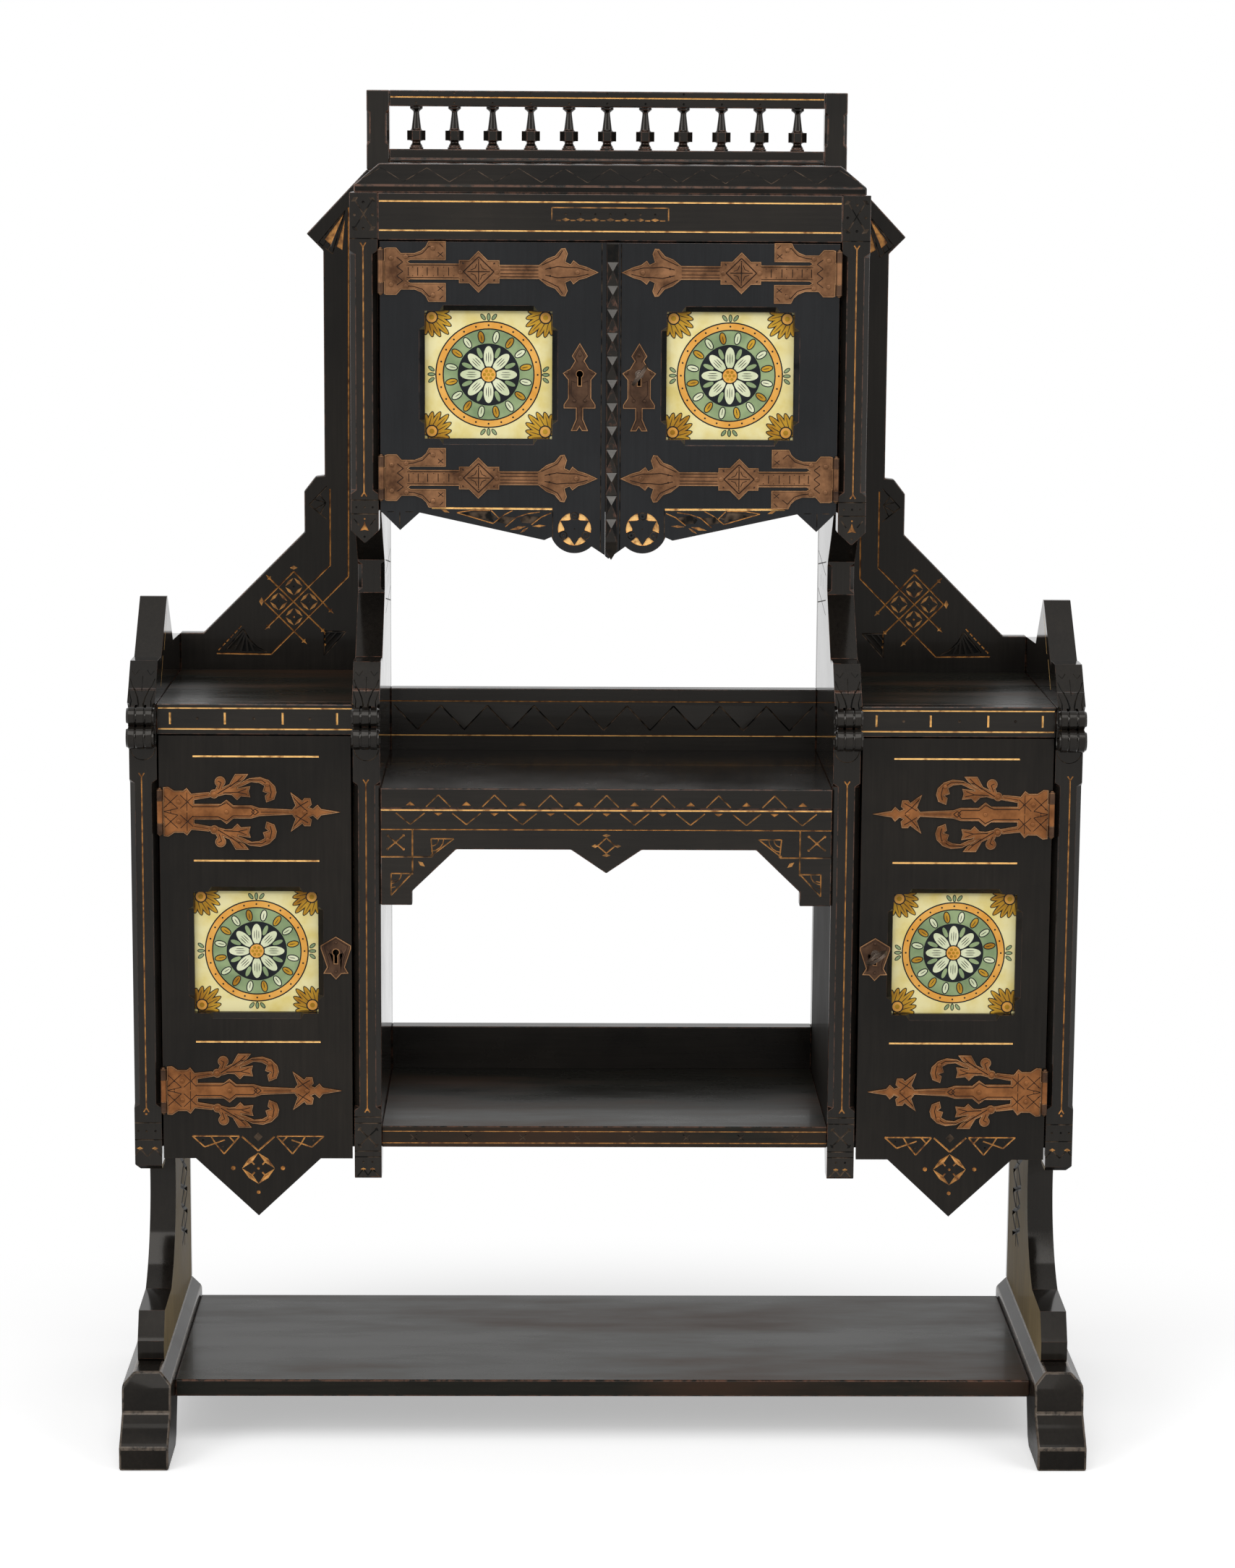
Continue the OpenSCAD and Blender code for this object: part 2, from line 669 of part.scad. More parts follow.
// plate round a keyhole, in mirror symmetry from one half of its outline
module escutcheon(x, y0, z, half, points) {
    translate([x, 0, z]) difference() {
        xz_board(y0 - 2, 2)
            polygon(concat(half, [for (i = [len(half) - 1 : -1 : 0]) [-half[i][0], half[i][1]]]));
        key_bore(0, 0, y0 - 2, 2);
    }
    screw_heads(x, y0 - 2, z, 1.9, points);
}

module upper_plate(s) {
    half = [[0, 35.9], [9.2, 20.7], [5.4, 15.2], [10.9, 6], [14, 4.5], [19.6, 0.8], [13.4, -6.8],
            [13.4, -28], [18.4, -35.5], [18.4, -39.7], [4.2, -39.7], [4.2, -52.4], [10, -65.9],
            [3, -65.9], [0, -61]];
    on(s) escutcheon(upper_key_x, -jut, upper_key_z, half,
                     [[0, 22], [-14.6, 1.4], [14.6, 1.4], [-6.2, -31], [6.2, -31]]);
}

module lower_plate(s) {
    half = [[0, 19.2], [18, 8.2], [18, 4.5], [10.5, -18], [15, -25.7], [6.5, -26], [0, -33]];
    on(s) escutcheon(lower_key_x, 0, lower_key_z, half, [[0, 12], [0, -23.5]]);
}

// lock case on the back of a door, open to the wood, with a hole for its bolt and the key's end
module lock_case(x, z, y0, a, b) {
    translate([x, y0, z]) difference() {
        block([-a, 0, -case_down], [b, case_t, case_up]);
        block([-a + 2 * case_wall, -1, -case_down + case_wall],
              [b - case_wall, case_t - case_wall, case_up - case_wall]);
        block([-a - 1, bolt_y - gap, bolt_z - gap], [0, bolt_y + bolt_t + gap, bolt_z + bolt_h + gap]);
        rotate([-90, 0, 0]) cylinder(r = shank_r + pin_gap, h = case_t + 1);
    }
}

module lock_bolt(x, z, y0, a) {
    translate([x, y0, z]) block([-a + gap, bolt_y, bolt_z], [8, bolt_y + bolt_t, bolt_z + bolt_h]);
}

// key whose bow and bit lie in one plane, turned clockwise from upright by the angle turn
module door_key(x, z, y0, turn) {
    translate([x, y0, z]) rotate([0, turn, 0]) {
        rotate([-90, 0, 0]) translate([0, 0, -13]) cylinder(r = shank_r, h = 13 + door_t + case_t);
        rotate([-90, 0, 0]) translate([0, 0, -5 - gap]) cylinder(r = shank_r + 1.8, h = 3);
        translate([-bit_t / 2, door_t + 1, 0]) cube([bit_t, case_t - case_wall - 2, bit_r]);
        translate([0, -11 - bow_r, 0]) rotate([0, 90, 0]) difference() {
            cylinder(r = bow_r, h = 3.4, center = true);
            cylinder(r = bow_r - 4.5, h = 5, center = true);
        }
    }
}

// upright bolt on the back of the left-hand upper door, which rises behind the frieze
module door_bolt() {
    top = frieze_z - 3;
    at_front() color(STEEL) on(-1) translate([rod_x, door_t - jut + eye_room, 0]) {
        translate([0, 0, top - rod_l]) cylinder(r = rod_r, h = rod_l);
        translate([0, 0, top - rod_l * 0.6]) rotate([-90, 0, 0]) cylinder(r = rod_r, h = 9);
        translate([0, 10, top - rod_l * 0.6]) sphere(4.5);
    }
}

// plate with the two eyes of the upright bolt
module door_bolt_plate() {
    top = frieze_z - 12;
    depth = eye_room + rod_r + 2;
    at_front() color(STEEL) on(-1) translate([rod_x, door_t - jut, 0]) difference() {
        union() {
            block([-10, 0, top - rod_l + 5], [10, eye_plate, top]);
            for (z = [top - rod_l + 9, top - 4 - eye_t])
                block([-rod_r - 2.5, 0, z], [rod_r + 2.5, depth, z + eye_t]);
        }
        translate([0, eye_room, top - 2 * rod_l]) cylinder(r = rod_r + pin_gap, h = 3 * rod_l);
    }
}

// pieces of the two halves
module foot_left() at_front() color(EBONY) foot(-1);
module foot_right() at_front() color(EBONY) foot(1);
module outer_side_left() at_front() color(EBONY) outer_side(-1);
module outer_side_right() at_front() color(EBONY) outer_side(1);
module inner_upright_left() at_front() color(EBONY) inner_upright(-1);
module inner_upright_right() at_front() color(EBONY) inner_upright(1);
module side_top_left() at_front() color(EBONY) side_top(-1);
module side_top_right() at_front() color(EBONY) side_top(1);
module fascia_left() at_front() color(EBONY) fascia(-1);
module fascia_right() at_front() color(EBONY) fascia(1);
module cupboard_floor_left() at_front() color(EBONY) cupboard_floor(-1);
module cupboard_floor_right() at_front() color(EBONY) cupboard_floor(1);
module back_board_left() at_front() color(EBONY) back_board(-1);
module back_board_right() at_front() color(EBONY) back_board(1);
module upper_door_left() at_front() color(EBONY) upper_door(-1);
module upper_door_right() at_front() color(EBONY) upper_door(1);
module lower_door_left() at_front() color(EBONY) lower_door(-1);
module lower_door_right() at_front() color(EBONY) lower_door(1);
module upper_tile_left() at_front() color(GLAZE) tile(-1, upper_tile_x, upper_tile_z, -jut);
module upper_tile_right() at_front() color(GLAZE) tile(1, upper_tile_x, upper_tile_z, -jut);
module lower_tile_left() at_front() color(GLAZE) tile(-1, lower_tile_x, lower_tile_z, 0);
module lower_tile_right() at_front() color(GLAZE) tile(1, lower_tile_x, lower_tile_z, 0);
module upper_tile_back_left() at_front() color(BACK) tile_back(-1, upper_tile_x, upper_tile_z, -jut);
module upper_tile_back_right() at_front() color(BACK) tile_back(1, upper_tile_x, upper_tile_z, -jut);
module lower_tile_back_left() at_front() color(BACK) tile_back(-1, lower_tile_x, lower_tile_z, 0);
module lower_tile_back_right() at_front() color(BACK) tile_back(1, lower_tile_x, lower_tile_z, 0);
module upper_straps_left() at_front() color(COPPER) upper_strap_pair(-1);
module upper_straps_right() at_front() color(COPPER) upper_strap_pair(1);
module lower_straps_left() at_front() color(COPPER) lower_strap_pair(-1);
module lower_straps_right() at_front() color(COPPER) lower_strap_pair(1);
module upper_escutcheon_left() at_front() color(COPPER) upper_plate(-1);
module upper_escutcheon_right() at_front() color(COPPER) upper_plate(1);
module lower_escutcheon_left() at_front() color(COPPER) lower_plate(-1);
module lower_escutcheon_right() at_front() color(COPPER) lower_plate(1);
module lower_lock_left() at_front() color(STEEL) on(-1)
    lock_case(lower_key_x, lower_key_z, door_t, lower_case_a, lower_case_b);
module lower_lock_right() at_front() color(STEEL) on(1)
    lock_case(lower_key_x, lower_key_z, door_t, lower_case_a, lower_case_b);
module lower_lock_bolt_left() at_front() color(BRASS) on(-1)
    lock_bolt(lower_key_x, lower_key_z, door_t, lower_case_a);
module lower_lock_bolt_right() at_front() color(BRASS) on(1)
    lock_bolt(lower_key_x, lower_key_z, door_t, lower_case_a);
module upper_lock() at_front() color(STEEL)
    lock_case(upper_key_x, upper_key_z, door_t - jut, upper_case_a, upper_case_b);
module upper_lock_bolt() at_front() color(BRASS)
    lock_bolt(upper_key_x, upper_key_z, door_t - jut, upper_case_a);
module upper_key() at_front() color(STEEL) door_key(upper_key_x, upper_key_z, -jut, upper_key_turn);
module lower_key() at_front() color(STEEL) door_key(lower_key_x, lower_key_z, 0, lower_key_turn);

foot_left();
foot_right();
outer_side_left();
outer_side_right();
inner_upright_left();
inner_upright_right();
bottom_shelf();
side_top_left();
side_top_right();
fascia_left();
fascia_right();
cupboard_floor_left();
cupboard_floor_right();
back_board_left();
back_board_right();
lower_shelf();
lower_back_rail();
middle_shelf();
shelf_apron();
upper_back_rail();
upper_floor();
upper_back();
frieze();
cornice();
gallery_top_rail();
gallery_bottom_rail();
gallery_stiles();
spindle_row();
upper_door_left();
upper_door_right();
lower_door_left();
lower_door_right();
upper_tile_left();
upper_tile_right();
lower_tile_left();
lower_tile_right();
upper_tile_back_left();
upper_tile_back_right();
lower_tile_back_left();
lower_tile_back_right();
astragal();
upper_straps_left();
upper_straps_right();
lower_straps_left();
lower_straps_right();
hinge_leaves();
upper_escutcheon_left();
upper_escutcheon_right();
lower_escutcheon_left();
lower_escutcheon_right();
upper_lock();
lower_lock_left();
lower_lock_right();
upper_lock_bolt();
lower_lock_bolt_left();
lower_lock_bolt_right();
upper_key();
lower_key();
door_bolt();
door_bolt_plate();
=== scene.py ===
"""Ebonised cabinet with tiled doors on sledge feet: the looks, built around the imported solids."""
import bpy
import json
from math import atan2, cos, pi, radians, sin
from mathutils import Matrix, Vector

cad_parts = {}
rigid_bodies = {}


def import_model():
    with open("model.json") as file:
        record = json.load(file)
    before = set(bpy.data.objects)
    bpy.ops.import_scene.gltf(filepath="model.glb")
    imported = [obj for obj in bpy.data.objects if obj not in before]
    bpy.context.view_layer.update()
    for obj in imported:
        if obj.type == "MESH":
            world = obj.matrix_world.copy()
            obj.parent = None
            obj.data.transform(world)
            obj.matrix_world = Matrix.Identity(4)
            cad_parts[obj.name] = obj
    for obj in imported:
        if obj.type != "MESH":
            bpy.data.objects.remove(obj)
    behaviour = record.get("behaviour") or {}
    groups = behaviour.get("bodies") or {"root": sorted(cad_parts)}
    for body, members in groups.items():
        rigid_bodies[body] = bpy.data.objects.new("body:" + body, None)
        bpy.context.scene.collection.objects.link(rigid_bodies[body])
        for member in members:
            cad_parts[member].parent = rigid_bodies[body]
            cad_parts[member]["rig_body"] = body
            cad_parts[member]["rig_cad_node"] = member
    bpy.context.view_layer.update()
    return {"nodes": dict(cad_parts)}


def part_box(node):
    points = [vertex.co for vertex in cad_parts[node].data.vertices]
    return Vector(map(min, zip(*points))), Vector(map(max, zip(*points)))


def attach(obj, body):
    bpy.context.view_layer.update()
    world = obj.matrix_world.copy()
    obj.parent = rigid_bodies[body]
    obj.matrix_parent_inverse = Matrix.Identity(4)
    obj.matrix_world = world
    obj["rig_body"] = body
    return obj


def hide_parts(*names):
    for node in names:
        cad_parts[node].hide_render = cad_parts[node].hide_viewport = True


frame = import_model()

# Camera. It stands 4.4 m before the posts, a little left of the middle and at eye height, and
# looks slightly down through a long lens.
FOCAL_PIXELS, PICTURE_HEIGHT = 5220.2, 2168
yaw, pitch, roll = radians(1.01), radians(9.57), radians(0.38)
ahead = Vector((sin(yaw) * cos(pitch), cos(yaw) * cos(pitch), -sin(pitch)))
level = Vector((cos(yaw), -sin(yaw), 0))
upward = level.cross(ahead)
camera_x = level * cos(roll) + upward * sin(roll)
camera_y = upward * cos(roll) - level * sin(roll)
bpy.ops.object.select_all(action="DESELECT")
bpy.ops.object.camera_add(location=(-0.065, -4.532, 1.5588))
camera = bpy.context.active_object
camera.name = "camera"
camera.rotation_euler = Matrix((camera_x, camera_y, -ahead)).transposed().to_euler()
camera.data.sensor_fit = "VERTICAL"
camera.data.sensor_height = 36
camera.data.lens = FOCAL_PIXELS * 36 / PICTURE_HEIGHT
camera.data.clip_end = 60
bpy.context.scene.camera = camera
bpy.context.scene.view_settings.view_transform = "Standard"

# Studio. Soft lamps, a white room that also shows in the polish of the black wood, and a pale
# floor that keeps the cabinet's shadow and fades into the white farther out.
for name, place, aim, size, power in (
        ("lamp_left", (-3.4, -3.2, 2.9), (0, 0, 0.8), 2.4, 80),
        ("lamp_right", (3.6, -2.6, 2.4), (0, 0, 0.8), 2.4, 55),
        ("lamp_front", (-0.3, -3.1, 4.7), (0, 0, 0.9), 3.2, 90)):
    bpy.ops.object.light_add(type="AREA", location=place)
    lamp = bpy.context.active_object
    lamp.name = name
    lamp.data.energy = power
    lamp.data.size = size
    lamp.rotation_euler = (Vector(aim) - Vector(place)).to_track_quat("-Z", "Y").to_euler()


def surface(name):
    """a new material, its node list, its link call and its shader"""
    made = bpy.data.materials.new(name)
    made.use_nodes = True
    nodes = made.node_tree.nodes
    return made, nodes, made.node_tree.links.new, nodes["Principled BSDF"]


PLAIN_LIGHT, FLOOR_GLOW = 0.42, 0.42


def seen_white(nodes, link):
    """1 where the camera or a reflection looks at it, and a plain level where it lights"""
    path = nodes.new("ShaderNodeLightPath")
    total = path.outputs["Is Camera Ray"]
    for ray in ("Is Glossy Ray", "Is Transmission Ray"):
        either = nodes.new("ShaderNodeMath")
        either.operation = "MAXIMUM"
        link(total, either.inputs[0])
        link(path.outputs[ray], either.inputs[1])
        total = either.outputs[0]
    strength = nodes.new("ShaderNodeMapRange")
    strength.inputs["To Min"].default_value = PLAIN_LIGHT
    strength.inputs["To Max"].default_value = 1.0
    link(total, strength.inputs["Value"])
    return strength.outputs[0]


room = bpy.data.worlds.new("white room")
room.use_nodes = True
bpy.context.scene.world = room
nodes, link = room.node_tree.nodes, room.node_tree.links.new
link(seen_white(nodes, link), nodes["Background"].inputs["Strength"])
nodes["Background"].inputs["Color"].default_value = (1, 1, 1, 1)

bpy.ops.mesh.primitive_plane_add(size=16, location=(0, 0, 0))
floor = bpy.context.active_object
floor.name = "floor"
pale, nodes, link, shader = surface("pale floor")
shader.inputs["Base Color"].default_value = (0.8, 0.8, 0.8, 1)
shader.inputs["Roughness"].default_value = 0.8
shader.inputs["Specular IOR Level"].default_value = 0.05
path = nodes.new("ShaderNodeLightPath")
lift = nodes.new("ShaderNodeMath")
lift.operation = "MULTIPLY"
lift.inputs[1].default_value = FLOOR_GLOW
link(path.outputs["Is Camera Ray"], lift.inputs[0])
shader.inputs["Emission Color"].default_value = (1, 1, 1, 1)
link(lift.outputs[0], shader.inputs["Emission Strength"])
white = nodes.new("ShaderNodeEmission")
link(seen_white(nodes, link), white.inputs["Strength"])
coords = nodes.new("ShaderNodeTexCoord")
squash = nodes.new("ShaderNodeMapping")
squash.inputs["Location"].default_value = (0, 0.1, 0)
squash.inputs["Scale"].default_value = (0.62, 1.15, 1)
link(coords.outputs["Object"], squash.inputs["Vector"])
away = nodes.new("ShaderNodeVectorMath")
away.operation = "LENGTH"
link(squash.outputs[0], away.inputs[0])
fade = nodes.new("ShaderNodeMapRange")
fade.interpolation_type = "SMOOTHSTEP"
fade.inputs["From Min"].default_value = 0.42
fade.inputs["From Max"].default_value = 1.0
link(away.outputs["Value"], fade.inputs["Value"])
blend = nodes.new("ShaderNodeMixShader")
link(fade.outputs[0], blend.inputs["Fac"])
link(shader.outputs[0], blend.inputs[1])
link(white.outputs[0], blend.inputs[2])
link(blend.outputs[0], nodes["Material Output"].inputs["Surface"])
floor.data.materials.append(pale)


# Sledge feet and the long shelf between them. Sawn from deep boards, chamfered, ebonised and
# waxed; the toes are scuffed down to the brown wood where shoes have kicked them.
def placed(nodes, link, scale=(1, 1, 1)):
    """coordinates on a piece, stretched along its axes"""
    coords = nodes.new("ShaderNodeTexCoord")
    made = nodes.new("ShaderNodeMapping")
    made.inputs["Scale"].default_value = scale
    link(coords.outputs["Object"], made.inputs["Vector"])
    return made.outputs[0]


def noise(nodes, link, place, size, detail, rough=0.5):
    """a cloudy value over a piece"""
    made = nodes.new("ShaderNodeTexNoise")
    made.inputs["Scale"].default_value = size
    made.inputs["Detail"].default_value = detail
    made.inputs["Roughness"].default_value = rough
    link(place, made.inputs["Vector"])
    return made.outputs["Fac"]


def ramp(nodes, link, value, low, high, dark, light):
    """a colour that runs from dark to light between two levels of a value"""
    made = nodes.new("ShaderNodeValToRGB")
    for stop, level, colour in zip(made.color_ramp.elements, (low, high), (dark, light)):
        stop.position = level
        stop.color = (*colour, 1)
    link(value, made.inputs["Fac"])
    return made.outputs["Color"]


def spread(nodes, link, value, old, new):
    """a value carried from one range to another"""
    made = nodes.new("ShaderNodeMapRange")
    for name, number in zip(("From Min", "From Max", "To Min", "To Max"), (*old, *new)):
        made.inputs[name].default_value = number
    link(value, made.inputs["Value"])
    return made.outputs[0]


def dented(nodes, link, height, strength, deep, onto):
    """small dents in a surface, from a value"""
    made = nodes.new("ShaderNodeBump")
    made.inputs["Strength"].default_value = strength
    made.inputs["Distance"].default_value = deep
    link(height, made.inputs["Height"])
    link(made.outputs["Normal"], onto)


WORN_BROWN, TOE_BROWN = (0.088, 0.042, 0.027), (0.10, 0.078, 0.06)
KNOCKED, SHELF_STAIN = (0.048, 0.037, 0.031), (0.036, 0.018, 0.010)


def ebonised(name, along, wear=0.0, toe=False, gloss=(0.17, 0.32), shelf=False, level=0.2,
             tones=((0.0065, 0.0058, 0.0052), (0.0145, 0.0122, 0.0100)), tint=(1.0, 0.94, 0.86)):
    """black stained and polished wood, its grain along one axis; wear shows the brown under it"""
    made, nodes, link, shader = surface(name)
    black = (0, 0, 0)

    def mixed(kind, amount, below, above):
        made = nodes.new("ShaderNodeMix")
        made.data_type = "RGBA"
        made.blend_type = kind
        if isinstance(amount, float):
            made.inputs["Factor"].default_value = amount
        else:
            link(amount, made.inputs["Factor"])
        link(below, made.inputs["A"])
        if isinstance(above, tuple):
            made.inputs["B"].default_value = (*above, 1)
        else:
            link(above, made.inputs["B"])
        return made.outputs["Result"]

    plain = placed(nodes, link)
    stretched = placed(nodes, link, [5 if axis == along else 110 for axis in "XYZ"])
    grain = noise(nodes, link, stretched, 2.5, 6, 0.65)
    streaks = ramp(nodes, link, grain, 0.3, 0.7, (0.7, 0.68, 0.67), (1.3, 1.26, 1.22))
    cloud = noise(nodes, link, placed(nodes, link, (0.4, 1.8, 1) if shelf else (1, 1, 1)), 5.5, 6, 0.6)
    colour = mixed("MULTIPLY", 0.8, ramp(nodes, link, cloud, 0.36, 0.68, *tones), streaks)
    if wear:
        speck = noise(nodes, link, plain, 75, 5, 0.7)
        rubbed = ramp(nodes, link, speck, 0.62 - 0.2 * wear, 0.7 - 0.14 * wear, black, (1, 1, 1))
        colour = mixed("MIX", rubbed, colour, TOE_BROWN if toe else WORN_BROWN)
    else:
        dots = noise(nodes, link, plain, 19, 8, 0.72)
        knocks = ramp(nodes, link, dots, 0.715, 0.75, black, (0.6, 0.6, 0.6))
        colour = mixed("MIX", knocks, colour, KNOCKED)
    if shelf:
        stain = ramp(nodes, link, cloud, 0.5, 0.66, black, (0.8, 0.8, 0.8))
        colour = mixed("MIX", stain, colour, SHELF_STAIN)
    link(colour, shader.inputs["Base Color"])
    link(spread(nodes, link, cloud, (0.35, 0.7), gloss), shader.inputs["Roughness"])
    shader.inputs["Specular IOR Level"].default_value = level
    shader.inputs["Specular Tint"].default_value = (*tint, 1)
    shader.inputs["Coat Weight"].default_value = 0.6 * level
    shader.inputs["Coat Roughness"].default_value = 0.05
    dented(nodes, link, grain, 0.12, 0.0002, shader.inputs["Normal"])
    return made


ebony_upright = ebonised("ebonised wood upright", "Z", gloss=(0.07, 0.16))
ebony_level = ebonised("ebonised wood level", "X")
ebony_deep = ebonised("ebonised wood deep", "Y", level=0.11)
ebony_board = ebonised("ebonised board", "Z", gloss=(0.14, 0.28), level=0.13)
ebony_slope = ebonised("ebonised cornice wood", "X", level=0.09)
rubbed_edge = ebonised("rubbed ebonised edge", "Z", wear=1.0)
ebony_shelf = ebonised("ebonised shelf", "X", gloss=(0.16, 0.5), shelf=True,
                       tones=((0.0085, 0.0085, 0.0068), (0.013, 0.013, 0.010)), level=0.12)
scuffed_edge = ebonised("scuffed ebonised edge", "Y", wear=1.2, toe=True)
pieces = []


def dressed(node, finish, worn=rubbed_edge, edge=0.0012, limit=22):
    """a piece in its node's own shape, welded, with its arrises rubbed round"""
    bpy.ops.object.select_all(action="DESELECT")
    solid = frame["nodes"][node]
    solid.select_set(True)
    bpy.context.view_layer.objects.active = solid
    bpy.ops.object.duplicate()
    piece = bpy.context.active_object
    piece.name = node + "_piece"
    body = piece["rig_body"]
    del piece["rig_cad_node"]
    piece.data.materials.clear()
    for layer in (finish, worn):
        piece.data.materials.append(layer)
    bpy.ops.object.mode_set(mode="EDIT")
    bpy.ops.mesh.select_all(action="SELECT")
    bpy.ops.mesh.remove_doubles(threshold=0.00001)
    bpy.ops.mesh.dissolve_limited(angle_limit=radians(0.3))
    bpy.ops.object.mode_set(mode="OBJECT")
    if edge:
        bpy.ops.object.modifier_add(type="BEVEL")
        soften = piece.modifiers[-1]
        soften.width = edge
        soften.segments = 2
        soften.angle_limit = radians(limit)
        soften.material = 1
        bpy.ops.object.modifier_apply(modifier=soften.name)
    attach(piece, body)
    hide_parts(node)
    pieces.append(piece)
    return piece


for side in ("left", "right"):
    dressed("foot_" + side, ebony_deep, scuffed_edge, 0.0026, limit=40)
dressed("bottom_shelf", ebony_shelf, edge=0.002)

# Outer sides. One shaped board each, with ear, carved console, post and leg, whose front edges
# have stopped chamfers and cut lines filled with gold paint. The fronts of the posts lie
# TO_MIDDLE millimetres before the middle of the depth.
def cut_finish(name, low, high, dark, light, size, metal):
    """what lies in a cut: gold paint, its worn remains, dust on the bare wood, or near-black painted shade"""
    made, nodes, link, shader = surface(name)
    fleck = noise(nodes, link, placed(nodes, link), size, 5)
    link(ramp(nodes, link, fleck, low, high, dark, light), shader.inputs["Base Color"])
    link(spread(nodes, link, fleck, (0, 1), (0.6, 0.35)), shader.inputs["Roughness"])
    shader.inputs["Metallic"].default_value = metal
    shader.inputs["Specular IOR Level"].default_value = 0.25 if metal else 0.1
    dented(nodes, link, fleck, 0.3, 0.0002, shader.inputs["Normal"])
    return made


gilt = cut_finish("gilt in the cuts", 0.3, 0.5, (0.34, 0.15, 0.045), (0.86, 0.54, 0.20), 120, 0.25)
worn_gilt = cut_finish("worn gilt in the cuts", 0.32, 0.6, (0.11, 0.040, 0.015), (0.52, 0.245, 0.065), 130, 0.2)
faded_gilt = cut_finish("faded gilt in the cuts", 0.36, 0.6, (0.040, 0.022, 0.012), (0.46, 0.22, 0.065),
                        75, 0.15)
dull_cut = cut_finish("bare cut", 0.42, 0.7, (0.004, 0.0035, 0.003), (0.11, 0.075, 0.05), 90, 0.0)
# The dark cut fill is near black: painted shade that makes cuts and sunk fields read as shadowed grooves.
painted_shade_cut = cut_finish("painted shade in the cuts", 0.4, 0.8, (0.002, 0.002, 0.002), (0.02, 0.015, 0.01), 60, 0.0)
waiting = []
TO_MIDDLE = 126


def front(y, s=1):
    """the front of a board, y millimetres behind the lower posts, on the side s"""
    return lambda a, b: Vector((s * a, y - TO_MIDDLE, b)) / 1000, Vector((0, -1, 0))


def flank(x, s):
    """the side of a board at x millimetres, facing s"""
    return lambda a, b: Vector((x, a - TO_MIDDLE, b)) / 1000, Vector((s, 0, 0))


def path(*points, w=1.7):
    """joined cuts from point to point"""
    return [(p, q, w) for p, q in zip(points, points[1:])]


def arc(a, b, r, start, end, w=1.2, steps=8):
    """a curved cut round a point"""
    turns = [radians(start + (end - start) * i / steps) for i in range(steps + 1)]
    return path(*[(a + r * cos(t), b + r * sin(t)) for t in turns], w=w)


def incise(piece, face, lines=(), dots=(), chips=(), fill=None, rings=(), fields=()):
    """lays out V grooves, round pits, carved chips, flutes and sunk fields, to be cut at the end"""
    place, out = face
    bpy.ops.object.select_all(action="DESELECT")
    bpy.ops.mesh.primitive_ico_sphere_add(subdivisions=1, radius=0.0005, location=(0, -2, 0))
    knife = bpy.context.active_object
    bpy.ops.object.mode_set(mode="EDIT")
    for (a0, b0), (a1, b1), w in lines:
        start, end = place(a0, b0), place(a1, b1)
        run = (end - start).normalized()
        over = out.cross(run)
        turn = Matrix((run, (over + out).normalized(), (out - over).normalized())).transposed()
        s = w / 1000 / 2 ** 0.5
        bpy.ops.mesh.primitive_cube_add(size=1, location=(start + end) / 2, rotation=turn.to_euler(),
                                        scale=((end - start).length, s, s))
    for a, b, r in dots:
        bpy.ops.mesh.primitive_ico_sphere_add(subdivisions=1, radius=r / 1000,
                                              location=place(a, b) + out * r / 4000)
    for a, b, angle, long, broad, deep in chips:
        centre = place(a, b)
        run = (place(a + cos(radians(angle)), b + sin(radians(angle))) - centre).normalized()
        turn = Matrix((run, (-out).cross(run), -out)).transposed()
        bpy.ops.mesh.primitive_cone_add(vertices=4, radius1=1, radius2=0, depth=1,
                                        location=centre - out * (deep / 2 - 0.05) / 1000,
                                        rotation=turn.to_euler(),
                                        scale=(long / 1000, broad / 1000, deep / 1000))
    for x, y, z, big, small in rings:
        bpy.ops.mesh.primitive_torus_add(major_segments=40, minor_segments=8, major_radius=big / 1000,
                                         minor_radius=small / 1000, rotation=(0, pi / 2, 0),
                                         location=Vector((x, y - TO_MIDDLE, z)) / 1000)
    bpy.ops.object.mode_set(mode="OBJECT")
    knives = [knife]
    for points, deep in fields:
        bpy.ops.mesh.primitive_circle_add(vertices=len(points), radius=0.001, fill_type="NGON",
                                          location=(0, 0, 0))
        knives.append(bpy.context.active_object)
        for corner, (a, b) in zip(knives[-1].data.vertices, points):
            corner.co = place(a, b) + out * 0.0002
        bpy.ops.object.mode_set(mode="EDIT")
        bpy.ops.mesh.extrude_region_move(TRANSFORM_OT_translate={"value": -out * (deep + 0.2) / 1000})
        bpy.ops.mesh.select_all(action="SELECT")
        bpy.ops.mesh.normals_make_consistent(inside=False)
        bpy.ops.object.mode_set(mode="OBJECT")
    for knife in knives:
        knife.data.materials.clear()
        knife.data.materials.append(fill or gilt)
        waiting.append((piece, knife))


def fishtail(a, b, up):
    """the small forked end of a gilt line"""
    return path((a - 3.2, b + up * 5), (a, b), (a + 3.2, b + up * 5), w=1.4)


